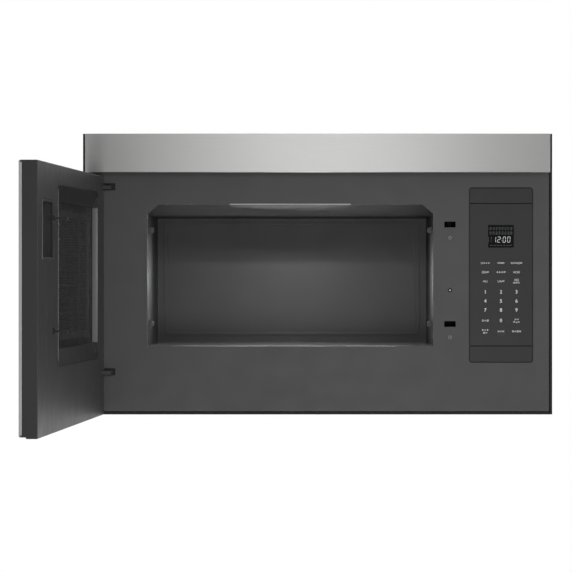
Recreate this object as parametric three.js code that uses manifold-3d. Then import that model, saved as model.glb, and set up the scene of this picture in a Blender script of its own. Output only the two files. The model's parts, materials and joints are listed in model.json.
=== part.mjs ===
// An over-the-range microwave with its full-width door open, in millimetres.
// X runs to the right, Y to the back and Z up. Pieces are written in the case's own
// coordinates: x = 0 is the middle, y = 0 the front plate's face, z = 0 the underside.
// The finished group is moved so that its origin is the middle of the back panel's face.
import * as THREE from "three";
import { mergeVertices } from "three/addons/utils/BufferGeometryUtils.js";
import Module from "manifold-3d";

const wasm = await Module();
wasm.setup();

// ---------------------------------------------------------------- driving sizes

const FIT = 0.3; // gap between pieces that touch
const PIERCE = 1; // how far a cut runs past the face it opens, or a join runs into its neighbour

// case
const CASE_W = 759;
const CASE_H = 454;
const BODY_DEPTH = 390;
const SHEET = 1.2; // folded steel of the case
const RIM = 3.7; // black edge of the case beside the front plate
const FRONT_T = 1.5;

// oven cavity
const CAVITY_LEFT = 104.5; // from the case's left side
const BAY_W = 192.9; // from the cavity to the case's right side
const CAVITY_FLOOR = 110.8;
const CAVITY_H = 211.7;
const CAVITY_DEPTH = 310;
const CAVITY_WALL = 1.5;
const BROW_RISE = 16.7; // the mouth is this much higher than the ceiling
const BROW_DEPTH = 56;
const BROW_FLAT = 4;
const BROW_CORNER = { w: 17.5, h: 14.2 };
const MOUTH_NOTCH = { w: 196, h: 1.7 };
const FLOOR_T = 4; // ceramic floor plate
const FLOOR_R = 5;
const FLOOR_LIP = 3;
const EMBOSS = { inset: 11, above: 6.5, w: 5, rise: 1, r: 8 };
const PEG = { w: 8, y: 26, depth: 18, h: 10, nose: 2.4, upper: 188, lower: 35 }; // rack supports
const SUMP = { r: 62, depth: 12 };

// trim strip and vent
const SIDE_INSET = 5.5; // strip and door stand in from the case's sides
const STRIP_H = 62;
const STRIP_TOP = 1;
const STRIP_RETURN = 12;
const STRIP_T = 1.2;
const STRIP_GAP = 7; // between the strip and the door
const VENT = { wall: 3, margin: 36, sill: 8, slots: 24, slotW: 20, slotDepth: 11 };
const CHARCOAL = { w: 340, depth: 13, below: 4 };

// door
const DOOR_T = 26.4;
const DOOR_GAP = 3;
const DOOR_BOTTOM = 1;
const DOOR_STEP = { rise: 2, depth: 7.5 }; // the front layer's lower edge is higher
const SKIN_T = 1.2;
const SKIN_EDGE = 2.5;
const DOOR_WALL = 2.4;
const OPEN_ANGLE = 93.1; // degrees from shut, as photographed
const GLASS = { left: 44, right: 28, bottom: 46, top: 22, t: 4, r: 4 };
const TUB = { left: -6, right: 12.6, z0: 96, z1: 355, depth: 10, wall: 2, r: 9 }; // from the cavity's sides
const FILM = { side: 6, end: 22, t: 1 }; // inside the tub's edge, where its slopes end
const WINDOW = { side: 8, end: 11, r: 3 }; // inside the film's edge
const SCREEN = { t: 0.8, lap: 5 };
const LENS = { left: 24.6, right: -12.6, z0: 247, z1: 332, frame: 3.8, depth: 6, recess: 2.3, t: 2, r: 3 };

// hinges
const PIVOT_IN = 15; // from the door's left edge, and behind its inner face
const PIN_R = 3;
const PIN_PLAY = 0.3;
const PIN_END = 10; // pin beyond the arm, each way
const ARM_T = 6.5;
const ARM_EYE = 5.5;
const ARM_TANG = { x0: 15.5, x1: 26, depth: 40, flange: 14 };
const ARM_LINK = { toe: 5, rise: 6, bend: 12, heel: 17 }; // the arm's crank, from the pivot
const ARM_SLOT = { left: 2, right: 5.5, above: 1, h: 11.2 };
const ARM_PLAY = { level: 2.2, side: 2.5, eye: 1 }; // room in the door round the arm
const HINGE_COLUMN = 20; // solid door edge, from the pivot
const HINGE_CHAMFER = { w: 20, d: 7 };
const HINGE_Z = [63.5, 362.8]; // lower edge of each slot in the front plate

// latch
const LATCH_X = 27.5; // from the cavity's right side
const LATCH_Z = [141.8, 302.8]; // lower edge of each slot
const LATCH_SLOT = { w: 18.2, h: 9.2 };
const HOOK = { w: 12, t: 3, reach: 20, lip: 1.5, lipL: 4, rise: 0.8, bar: 4, over: 10, play: 1 };
const LATCH_TRAVEL = 2.5;
const BRACKET = { wall: 2.5, w: 30, depth: 44, over: 22 };
const SWITCH = { w: 10, depth: 15, h: 27, plunger: 1.6 };
const LEVER = { w: 8, t: 3, down: 32, up: 9, y: 19, pin: 2, boss: 3.2 };
const PLUG = { r: 3.2, head: 0.8, shank: 2, drop: 19 };
const SCREW = { r: 3, head: 1.6, slot: 0.8, shank: 3, drop: 101.8 }; // from the upper slot

// control panel
const PANEL = { right: 32.9, w: 100, z0: 85.6, z1: 365.7, r: 3.5, groove: 2 };
const PANEL_SPLIT = [25.2, 255.7]; // divider lines, from the panel's lower edge
const LINE = { w: 1.3, depth: 0.8 };
const DISPLAY = { w: 41.8, z0: 184.3, h: 36.8, r: 1.5, recess: 0.2 };
const CARRIER = { depth: 20, wall: 2, flange: 6 };
const BOARD = { t: 1.6, above: 20 };

// cooking parts
const GUIDE = { w: 80, h: 22, wall: 1.2, end: 76 }; // waveguide, past the cavity's side
const COUPLE_R = 12;
const ANTENNA = { r: 54, t: 1.6, hub: 8, hubH: 5, shaft: 3, rise: 5, holes: 3, holeR: 13, holeAt: 32 };
const ANTENNA_MOTOR = { r: 24, h: 18, bore: 4, seat: 8, tab: 8, tabW: 10 };
const MAGNETRON = {
  gap: 5,
  w: 72,
  depth: 78,
  h: 84,
  plate: 11,
  bridge: 2,
  core: 22,
  stub: 6,
  stubPlay: 2,
  fins: 6,
  finT: 2,
  finIn: 4,
};
const SHELF_Z = 46;
const TRANSFORMER = { w: 86, depth: 72, h: 66, core: 46, coilIn: 10, coilR: 6, side: 12, y: 232 };
const CAPACITOR = { r: 21, l: 72, y: 34, side: 18, strap: 12 };
const FOOT = { side: 6, t: 3 }; // under both of them
const CAVITY_LAMP = { w: 130, depth: 16, h: 8.5, lens: 4.2 };

// vent blowers
const WHEEL = {
  r: 39,
  w: 56,
  rim: 2,
  hub: 9,
  hubL: 24,
  blades: 14,
  bladeT: 1.2,
  bladeDepth: 9,
  sweep: 24, // degrees
};
const HOUSING = { r: 46, w: 64, wall: 1.5, inlet: 31, y: 60, top: 10, foot: 12 };
const VENT_MOTOR = { r: 36, w: 84, shaft: 4, shaftIn: 4, foot: 34 };
const WHEEL_GAP = 8; // motor face to housing

// cooling fan
const FAN = {
  size: 104,
  depth: 34,
  r: 46,
  hub: 16,
  hubIn: 2,
  blades: 7,
  bladeT: 1.6,
  bladeW: 22,
  pitch: 32, // degrees
  tipGap: 4,
  z: 150,
  side: 26,
};
const FAN_MOTOR = { r: 15, l: 12, plate: 4, shaft: 2, end: 2, spokes: 3, spokeW: 6, lap: 2 };

// exhaust, top of the case
const DUCT = { w: 254, depth: 82, collar: 13, wall: 1.2, flange: 9, back: 18 };
const FLAP = { t: 1.2, play: 1.5, pin: 1.6, stop: 4 };
const GLAND = { r: 12, bore: 5, flange: 3, flangeT: 2, side: 79.5, back: 44, above: 5, below: 8 };

// underside
const FILTER = { w: 248, depth: 152, t: 6, catch: 6, travel: 8, side: 28, y: 120, play: 1 };
const FILTER_RAIL = { wall: 1.2, cover: 4 };
const FILTER_FIELD = { margin: 12, recess: 1 };
const FILTER_PULL = { w: 26, t: 1.5, h: 5 };
const LAMP = { w: 60, depth: 44, y: 46, side: 229.5, lens: 2.4, lip: 4, h: 12 };
const WALL_SLOT = { side: 169.5, w: 60, z: 22, h: 12 };

// ---------------------------------------------------------------- places worked out from them

const LEFT = -CASE_W / 2;
const RIGHT = CASE_W / 2;
const CAVITY_X0 = LEFT + CAVITY_LEFT;
const CAVITY_X1 = RIGHT - BAY_W;
const CAVITY_MID = (CAVITY_X0 + CAVITY_X1) / 2;
const CEILING = CAVITY_FLOOR + CAVITY_H;
const MOUTH_TOP = CEILING + BROW_RISE;
const STEEL_FLOOR = CAVITY_FLOOR - FLOOR_T - FIT;
const LINER_FRONT = FRONT_T + FIT;
const SUMP_Y = CAVITY_DEPTH / 2;
const SUMP_Z = STEEL_FLOOR - SUMP.depth;
const GUIDE_Z1 = SUMP_Z - CAVITY_WALL - FIT;
const GUIDE_Z0 = GUIDE_Z1 - GUIDE.h;
const BACK_IN = BODY_DEPTH - SHEET - FIT; // what stands on the back panel
const SIDE_IN = RIGHT - SHEET - FIT;
const TOP_IN = CASE_H - SHEET - FIT;

const DOOR_X0 = LEFT + SIDE_INSET;
const DOOR_X1 = RIGHT - SIDE_INSET;
const DOOR_IN = -DOOR_GAP;
const DOOR_OUT = DOOR_IN - DOOR_T;
const STRIP_Z1 = CASE_H - STRIP_TOP;
const STRIP_Z0 = STRIP_Z1 - STRIP_H;
const DOOR_TOP = STRIP_Z0 - STRIP_GAP;
const PIVOT = new THREE.Vector2(DOOR_X0 + PIVOT_IN, DOOR_IN - PIVOT_IN);
const LATCH_MID = CAVITY_X1 + LATCH_X;
const SCREW_Z = LATCH_Z[1] - SCREW.drop;
const PANEL_X1 = RIGHT - PANEL.right;
const PANEL_X0 = PANEL_X1 - PANEL.w;
const TUB_X0 = CAVITY_X0 + TUB.left;
const TUB_X1 = CAVITY_X1 - TUB.right;
const LENS_X0 = PANEL_X0 - LENS.left; // past the panel's sides, to the left and right
const LENS_X1 = PANEL_X1 + LENS.right;
const GLAND_AT = [RIGHT - GLAND.side, BODY_DEPTH - GLAND.back];

// ---------------------------------------------------------------- shapes

// A closed geometry as a manifold-3d solid.
function solid(geometry) {
  geometry.deleteAttribute("normal");
  geometry.deleteAttribute("uv");
  const merged = mergeVertices(geometry, 1e-4);
  const mesh = new wasm.Mesh({
    numProp: 3,
    vertProperties: new Float32Array(merged.attributes.position.array),
    triVerts: new Uint32Array(merged.index.array),
  });
  return new wasm.Manifold(mesh);
}

function block(x0, x1, y0, y1, z0, z1) {
  const box = new THREE.BoxGeometry(x1 - x0, y1 - y0, z1 - z0);
  return solid(box.translate((x0 + x1) / 2, (y0 + y1) / 2, (z0 + z1) / 2));
}

// Bases that stand an extrusion of a flat outline along one axis.
const ALONG = {
  x: [new THREE.Vector3(0, 1, 0), new THREE.Vector3(0, 0, 1), new THREE.Vector3(1, 0, 0)],
  y: [new THREE.Vector3(1, 0, 0), new THREE.Vector3(0, 0, 1), new THREE.Vector3(0, -1, 0)],
  z: [new THREE.Vector3(1, 0, 0), new THREE.Vector3(0, 1, 0), new THREE.Vector3(0, 0, 1)],
};

// An outline carried along an axis: (y, z) along x, (x, z) along y, (x, y) along z.
function prism(outline, axis, from, to) {
  const options = { depth: to - from, bevelEnabled: false, curveSegments: 5 };
  const basis = new THREE.Matrix4().makeBasis(...ALONG[axis]);
  const geometry = new THREE.ExtrudeGeometry(outline, options).applyMatrix4(basis);
  const start = ALONG[axis][2].clone().multiplyScalar(axis === "y" ? -to : from);
  return solid(geometry.translate(start.x, start.y, start.z));
}

function polygon(points) {
  return new THREE.Shape(points.map(([a, b]) => new THREE.Vector2(a, b)));
}

function roundedRect(x0, x1, y0, y1, r) {
  const shape = new THREE.Shape();
  shape.absarc(x1 - r, y0 + r, r, -Math.PI / 2, 0);
  shape.absarc(x1 - r, y1 - r, r, 0, Math.PI / 2);
  shape.absarc(x0 + r, y1 - r, r, Math.PI / 2, Math.PI);
  shape.absarc(x0 + r, y0 + r, r, Math.PI, Math.PI * 1.5);
  return shape;
}

// A round bar along an axis; the centre is given in the other two coordinates.
function rod(axis, centre, r, from, to, sides = 24) {
  const geometry = new THREE.CylinderGeometry(r, r, to - from, sides);
  const mid = (from + to) / 2;
  if (axis === "x") {
    geometry.rotateZ(-Math.PI / 2).translate(mid, centre[0], centre[1]);
  } else if (axis === "y") {
    geometry.translate(centre[0], mid, centre[1]);
  } else {
    geometry.rotateX(Math.PI / 2).translate(centre[0], centre[1], mid);
  }
  return solid(geometry);
}

function join(first, ...rest) {
  return rest.reduce((sum, body) => sum.add(body), first);
}

function cut(first, ...rest) {
  return rest.reduce((left, body) => left.subtract(body), first);
}

// One body for each equal share of a turn, made from its angle in radians.
function ring(count, make) {
  return Array.from({ length: count }, (unused, i) => make((i * 2 * Math.PI) / count));
}

// ---------------------------------------------------------------- scene graph

const FINISHES = {
  steel: { color: 0xb4b4b2, roughness: 0.34, metalness: 1 },
  enamel: { color: 0x4c4c4d, roughness: 0.42, metalness: 0.1 },
  black: { color: 0x18181a, roughness: 0.45, metalness: 0 },
  gloss: { color: 0x08080a, roughness: 0.08, metalness: 0 },
  glass: { color: 0x202224, roughness: 0.05, metalness: 0 },
  panel: { color: 0x3b3b3c, roughness: 0.5, metalness: 0 },
  zinc: { color: 0x9b9da0, roughness: 0.45, metalness: 0.9 },
  aluminium: { color: 0xc4c6c8, roughness: 0.4, metalness: 1 },
  ceramic: { color: 0x47474a, roughness: 0.3, metalness: 0 },
  plastic: { color: 0xc9c6bc, roughness: 0.55, metalness: 0 },
  board: { color: 0x1f4d33, roughness: 0.6, metalness: 0 },
  copper: { color: 0x8a4b2c, roughness: 0.5, metalness: 0.7 },
  carbon: { color: 0x222222, roughness: 0.95, metalness: 0 },
  diffuser: { color: 0xdedfdc, roughness: 0.5, metalness: 0 },
};

const microwave = new THREE.Group();
const cabinet = new THREE.Group();
cabinet.position.set(0, -BODY_DEPTH, -CASE_H / 2);
microwave.add(cabinet);

// The door hangs on its pivot line; its leaf is written shut, in the case's coordinates.
const hinge = new THREE.Group();
hinge.position.set(PIVOT.x, PIVOT.y, 0);
hinge.rotation.z = THREE.MathUtils.degToRad(-OPEN_ANGLE);
const leaf = new THREE.Group();
leaf.position.set(-PIVOT.x, -PIVOT.y, 0);
hinge.add(leaf);
cabinet.add(hinge);

function piece(name, body, finish, parent = cabinet) {
  const { vertProperties, triVerts } = body.getMesh();
  const geometry = new THREE.BufferGeometry();
  geometry.setAttribute("position", new THREE.BufferAttribute(vertProperties, 3));
  geometry.setIndex(new THREE.BufferAttribute(triVerts, 1));
  geometry.computeVertexNormals();
  const mesh = new THREE.Mesh(geometry, new THREE.MeshStandardMaterial(FINISHES[finish]));
  mesh.name = name;
  parent.add(mesh);
}

// ---------------------------------------------------------------- cavity

// The mouth's outline, grown by a wall: square below, with cut corners at the top.
function mouthOutline(grow, bottom) {
  const x0 = CAVITY_X0 - grow;
  const x1 = CAVITY_X1 + grow;
  const top = MOUTH_TOP + grow;
  const { w, h } = BROW_CORNER;
  return polygon([
    [x0, bottom],
    [x1, bottom],
    [x1, top - h],
    [x1 - w, top],
    [x0 + w, top],
    [x0, top - h],
  ]);
}

// The space behind the mouth, grown by a wall, from a given front.
function cavitySpace(grow, front, floor) {
  const x0 = CAVITY_X0 - grow;
  const x1 = CAVITY_X1 + grow;
  const main = block(x0, x1, front, CAVITY_DEPTH + grow, floor - grow, CEILING + grow);
  const slope = polygon([
    [front, CEILING],
    [BROW_DEPTH + grow, CEILING],
    [BROW_DEPTH + grow, CEILING + grow],
    [BROW_FLAT + grow, MOUTH_TOP + grow],
    [front, MOUTH_TOP + grow],
  ]);
  const under = CEILING - BROW_RISE;
  const corners = prism(mouthOutline(grow, under), "y", front - PIERCE, BROW_DEPTH + 2 * grow);
  return join(main, prism(slope, "x", x0, x1).intersect(corners));
}

function makeCavity() {
  const outer = join(
    cavitySpace(CAVITY_WALL, LINER_FRONT, STEEL_FLOOR),
    rod("z", [CAVITY_MID, SUMP_Y], SUMP.r + CAVITY_WALL, SUMP_Z - CAVITY_WALL, STEEL_FLOOR, 40),
  );
  const inner = join(
    cavitySpace(0, LINER_FRONT - PIERCE, STEEL_FLOOR),
    rod("z", [CAVITY_MID, SUMP_Y], SUMP.r, SUMP_Z, STEEL_FLOOR + PIERCE, 40),
    rod("z", [CAVITY_MID, SUMP_Y], COUPLE_R, SUMP_Z - 2 * CAVITY_WALL, SUMP_Z + PIERCE),
  );
  const lampSlot = block(
    CAVITY_MID - MOUTH_NOTCH.w / 2,
    CAVITY_MID + MOUTH_NOTCH.w / 2,
    LINER_FRONT - PIERCE,
    LINER_FRONT + CAVITY_LAMP.lens,
    MOUTH_TOP - PIERCE,
    MOUTH_TOP + CAVITY_WALL + PIERCE,
  );
  const lip = block(
    CAVITY_X0 - CAVITY_WALL / 2,
    CAVITY_X1 + CAVITY_WALL / 2,
    LINER_FRONT,
    LINER_FRONT + FLOOR_LIP,
    STEEL_FLOOR - CAVITY_WALL / 2,
    CAVITY_FLOOR,
  );
  const frame = (grow) =>
    roundedRect(
      CAVITY_X0 + EMBOSS.inset + grow,
      CAVITY_X1 - EMBOSS.inset - grow,
      CAVITY_FLOOR + EMBOSS.inset + grow,
      CEILING - EMBOSS.above - grow,
      EMBOSS.r,
    );
  const emboss = cut(
    prism(frame(0), "y", CAVITY_DEPTH - EMBOSS.rise, CAVITY_DEPTH + CAVITY_WALL / 2),
    prism(frame(EMBOSS.w), "y", CAVITY_DEPTH - 2 * EMBOSS.rise, CAVITY_DEPTH + CAVITY_WALL),
  );
  piece("cavity_liner", join(cut(outer, inner, lampSlot), lip, emboss), "enamel");

  piece(
    "cavity_floor_plate",
    prism(
      roundedRect(
        CAVITY_X0 + 2 * FIT,
        CAVITY_X1 - 2 * FIT,
        LINER_FRONT + FLOOR_LIP + FIT,
        CAVITY_DEPTH - EMBOSS.rise - 2 * FIT,
        FLOOR_R,
      ),
      "z",
      CAVITY_FLOOR - FLOOR_T,
      CAVITY_FLOOR,
    ),
    "ceramic",
  );

  for (const [side, x, out] of [
    ["left", CAVITY_X0 + FIT, 1],
    ["right", CAVITY_X1 - FIT, -1],
  ]) {
    for (const [level, rise] of [
      ["upper", PEG.upper],
      ["lower", PEG.lower],
    ]) {
      const z = CAVITY_FLOOR + rise;
      const peg = polygon([
        [x, z - PEG.h / 2],
        [x + out * (PEG.w - PEG.nose), z - PEG.h / 2],
        [x + out * PEG.w, z - PEG.h / 2 + PEG.nose],
        [x + out * PEG.w, z + PEG.h / 2 - PEG.nose],
        [x + out * (PEG.w - PEG.nose), z + PEG.h / 2],
        [x, z + PEG.h / 2],
      ]);
      piece(`rack_support_${side}_${level}`, prism(peg, "y", PEG.y, PEG.y + PEG.depth), "enamel");
    }
  }

  // the lamp stands behind the front plate, with its lens let down through the brow
  const lensX = [CAVITY_MID - MOUTH_NOTCH.w / 2 + FIT, CAVITY_MID + MOUTH_NOTCH.w / 2 - FIT];
  const lensY1 = LINER_FRONT + CAVITY_LAMP.lens - FIT;
  const lensZ = MOUTH_TOP + FIT;
  const lampZ = MOUTH_TOP + CAVITY_WALL + FIT;
  piece(
    "cavity_lamp",
    join(
      block(...lensX, FIT, lensY1, lensZ, MOUTH_TOP + MOUTH_NOTCH.h - FIT),
      block(...lensX, LINER_FRONT, lensY1, lensZ, lampZ + PIERCE),
      block(
        CAVITY_MID - CAVITY_LAMP.w / 2,
        CAVITY_MID + CAVITY_LAMP.w / 2,
        LINER_FRONT,
        LINER_FRONT + CAVITY_LAMP.depth,
        lampZ,
        lampZ + CAVITY_LAMP.h,
      ),
    ),
    "plastic",
  );
}

// ---------------------------------------------------------------- case

function makeFrontPlate() {
  const plateX = RIGHT - RIM - FIT;
  const ventX = RIGHT - VENT.margin;
  const groove = PANEL.groove;
  let plate = block(-plateX, plateX, 0, FRONT_T, RIM + FIT, TOP_IN);
  const through = [-PIERCE, FRONT_T + PIERCE];
  plate = cut(
    plate,
    prism(mouthOutline(0, CAVITY_FLOOR), "y", ...through),
    block(
      CAVITY_MID - MOUTH_NOTCH.w / 2,
      CAVITY_MID + MOUTH_NOTCH.w / 2,
      ...through,
      MOUTH_TOP - PIERCE,
      MOUTH_TOP + MOUTH_NOTCH.h,
    ),
    block(-ventX, ventX, ...through, STRIP_Z0 + VENT.sill, STRIP_Z1 - VENT.sill),
    prism(
      roundedRect(
        PANEL_X0 - groove,
        PANEL_X1 + groove,
        PANEL.z0 - groove,
        PANEL.z1 + groove,
        PANEL.r + groove,
      ),
      "y",
      ...through,
    ),
  );
  for (const z of LATCH_Z) {
    const half = LATCH_SLOT.w / 2;
    plate = cut(
      plate,
      block(LATCH_MID - half, LATCH_MID + half, ...through, z, z + LATCH_SLOT.h),
      rod("y", [LATCH_MID, z - PLUG.drop + PLUG.shank], PLUG.shank + FIT, ...through, 16),
    );
  }
  plate = cut(
    plate,
    rod("y", [LATCH_MID, SCREW_Z], PLUG.shank + FIT, ...through, 16),
  );
  for (const z of HINGE_Z) {
    const x0 = PIVOT.x + ARM_TANG.x0 - ARM_SLOT.left;
    const x1 = PIVOT.x + ARM_TANG.x1 + ARM_SLOT.right;
    plate = cut(plate, block(x0, x1, ...through, z, z + ARM_SLOT.h));
  }
  piece("front_plate", plate, "enamel");
}

function makeCase() {
  const ductX = DUCT.w / 2 - DUCT.wall;
  const ductY = BODY_DEPTH - DUCT.back - DUCT.depth;
  let shell = join(
    block(LEFT, RIGHT, 0, BODY_DEPTH, CASE_H - SHEET, CASE_H),
    block(LEFT, LEFT + SHEET, 0, BODY_DEPTH, 0, CASE_H),
    block(RIGHT - SHEET, RIGHT, 0, BODY_DEPTH, 0, CASE_H),
    block(LEFT, LEFT + RIM, 0, SHEET, RIM + FIT, CASE_H),
    block(RIGHT - RIM, RIGHT, 0, SHEET, RIM + FIT, CASE_H),
  );
  shell = cut(
    shell,
    block(
      -ductX,
      ductX,
      ductY + DUCT.wall,
      ductY + DUCT.depth - DUCT.wall,
      CASE_H - 2 * SHEET,
      CASE_H + PIERCE,
    ),
    rod(
      "z",
      GLAND_AT,
      GLAND.r + FIT,
      CASE_H - 2 * SHEET,
      CASE_H + PIERCE,
    ),
  );
  piece("outer_case", shell, "black");

  let back = block(-SIDE_IN, SIDE_IN, BODY_DEPTH - SHEET, BODY_DEPTH, SHEET + FIT, TOP_IN);
  for (const side of [-1, 1]) {
    const x = side * (RIGHT - WALL_SLOT.side);
    back = cut(
      back,
      block(
        x - WALL_SLOT.w / 2,
        x + WALL_SLOT.w / 2,
        BODY_DEPTH - 2 * SHEET,
        BODY_DEPTH + PIERCE,
        WALL_SLOT.z,
        WALL_SLOT.z + WALL_SLOT.h,
      ),
    );
  }
  piece("back_panel", back, "zinc");

  let base = join(
    block(-SIDE_IN, SIDE_IN, 0, BODY_DEPTH, 0, SHEET),
    block(-SIDE_IN, SIDE_IN, 0, SHEET, 0, RIM),
  );
  const openY1 = FILTER.y + FILTER.depth - 2 * FILTER.catch;
  const railY = FILTER.y + FILTER.depth - FILTER.catch + FILTER.travel + FIT;
  const railZ = SHEET + 2 * FIT + FILTER.t;
  for (const side of [-1, 1]) {
    const x0 = side > 0 ? RIGHT - FILTER.side - FILTER.w : LEFT + FILTER.side;
    const x1 = x0 + FILTER.w;
    base = cut(
      base,
      block(
        x0 - FILTER.play,
        x1 + FILTER.play,
        FILTER.y,
        openY1,
        -PIERCE,
        2 * SHEET,
      ),
    );
    base = join(
      base,
      block(x0, x1, railY, railY + FILTER_RAIL.wall, SHEET / 2, railZ + FILTER_RAIL.wall),
      block(
        x0,
        x1,
        openY1 + FILTER_RAIL.cover,
        railY + FILTER_RAIL.wall,
        railZ,
        railZ + FILTER_RAIL.wall,
      ),
    );
    const lampX = side * (RIGHT - LAMP.side) - LAMP.w / 2;
    base = cut(
      base,
      block(lampX, lampX + LAMP.w, LAMP.y, LAMP.y + LAMP.depth, -PIERCE, 2 * SHEET),
    );
  }
  piece("base_panel", base, "black");

  piece(
    "component_shelf",
    block(
      CAVITY_X1 + CAVITY_WALL + FIT,
      SIDE_IN,
      LINER_FRONT,
      BACK_IN,
      SHELF_Z,
      SHELF_Z + SHEET,
    ),
    "zinc",
  );

  piece(
    "cord_gland",
    cut(
      join(
        rod(
          "z",
          GLAND_AT,
          GLAND.r,
          CASE_H - SHEET - GLAND.below,
          CASE_H + GLAND.above,
        ),
        rod(
          "z",
          GLAND_AT,
          GLAND.r + GLAND.flange,
          CASE_H + FIT,
          CASE_H + FIT + GLAND.flangeT,
        ),
      ),
      rod(
        "z",
        GLAND_AT,
        GLAND.bore,
        CASE_H - SHEET - GLAND.below - PIERCE,
        CASE_H + GLAND.above + PIERCE,
      ),
    ),
    "black",
  );
}

// ---------------------------------------------------------------- trim strip and vent

function makeStrip() {
  const back = DOOR_OUT + STRIP_RETURN;
  piece(
    "top_trim_strip",
    cut(
      block(DOOR_X0, DOOR_X1, DOOR_OUT, back, STRIP_Z0, STRIP_Z1),
      block(
        DOOR_X0 + STRIP_T,
        DOOR_X1 - STRIP_T,
        DOOR_OUT + STRIP_T,
        back + PIERCE,
        STRIP_Z0 + STRIP_T,
        STRIP_Z1 - STRIP_T,
      ),
    ),
    "steel",
  );

  const inset = STRIP_T + FIT;
  const x0 = DOOR_X0 + inset;
  const x1 = DOOR_X1 - inset;
  const z0 = STRIP_Z0 + inset;
  const z1 = STRIP_Z1 - inset;
  const wall = VENT.wall;
  let grille = cut(
    block(x0, x1, DOOR_OUT + inset, -FIT, z0, z1),
    block(x0 + wall, x1 - wall, DOOR_OUT + inset + wall, PIERCE, z0 + wall, z1 - wall),
  );
  const pitch = (x1 - x0 - 2 * wall) / VENT.slots;
  const slotY1 = -FIT - wall;
  for (let i = 0; i < VENT.slots; i += 1) {
    const mid = x0 + wall + pitch * (i + 0.5);
    grille = cut(
      grille,
      block(
        mid - VENT.slotW / 2,
        mid + VENT.slotW / 2,
        slotY1 - VENT.slotDepth,
        slotY1,
        z1 - wall - PIERCE,
        z1 + PIERCE,
      ),
    );
  }
  piece("vent_grille", grille, "black");

  piece(
    "charcoal_filter",
    block(
      -CHARCOAL.w / 2,
      CHARCOAL.w / 2,
      LINER_FRONT,
      LINER_FRONT + CHARCOAL.depth,
      STRIP_Z0 + VENT.sill - CHARCOAL.below,
      TOP_IN,
    ),
    "carbon",
  );
}

// ---------------------------------------------------------------- hinges

// The arm's planform, from the pivot: an eye, a link to the slot and a tang behind the plate.
function makeHinge(name, slotZ) {
  const z0 = slotZ + ARM_SLOT.above;
  const z1 = z0 + ARM_T;
  const [px, py] = [PIVOT.x, PIVOT.y];
  const { toe, rise, bend, heel } = ARM_LINK;
  const link = polygon([
    [px - ARM_EYE / 2, py + ARM_EYE * 0.86],
    [px + ARM_EYE * 0.7, py - ARM_EYE * 0.7],
    [px + ARM_TANG.x1 - toe, py + rise],
    [px + ARM_TANG.x1, py + bend],
    [px + ARM_TANG.x1, ARM_TANG.depth],
    [px + ARM_TANG.x0, ARM_TANG.depth],
    [px + ARM_TANG.x0, py + heel],
  ]);
  const flange = block(
    px + ARM_TANG.x0 - ARM_TANG.flange,
    px + ARM_TANG.x1 + ARM_TANG.flange,
    LINER_FRONT,
    LINER_FRONT + 2 * SHEET,
    z0 - ARM_TANG.flange,
    z1 + ARM_TANG.flange,
  );
  const arm = join(
    prism(link, "z", z0, z1),
    rod("z", [px, py], ARM_EYE, z0, z1),
    rod("z", [px, py], PIN_R, z0 - PIN_END, z1 + PIN_END),
    flange,
  );
  piece(name, arm, "zinc");
}

// Room in the door's edge for an arm as the door swings, in the shut door's coordinates.
function hingePocket(slotZ) {
  const z0 = slotZ + ARM_SLOT.above - ARM_PLAY.level;
  const z1 = slotZ + ARM_SLOT.above + ARM_T + ARM_PLAY.level;
  const [px, py] = [PIVOT.x, PIVOT.y];
  const reach = ARM_TANG.x1 + ARM_PLAY.side;
  const eye = ARM_EYE + ARM_PLAY.eye;
  const outline = polygon([
    [px - PIVOT_IN - PIERCE, py - eye],
    [px + ARM_EYE, py - eye],
    [px + reach - ARM_LINK.toe + ARM_PLAY.eye, py + ARM_LINK.rise - ARM_PLAY.side],
    [px + reach, py + ARM_LINK.bend - ARM_PLAY.side],
    [px + reach, py + PIVOT_IN + PIERCE],
    [px - PIVOT_IN - PIERCE, py + PIVOT_IN + PIERCE],
  ]);
  const hole = rod("z", [px, py], PIN_R + PIN_PLAY, z0 - PIN_END, z1 + PIN_END);
  return join(prism(outline, "z", z0, z1), hole);
}

// ---------------------------------------------------------------- door

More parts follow.
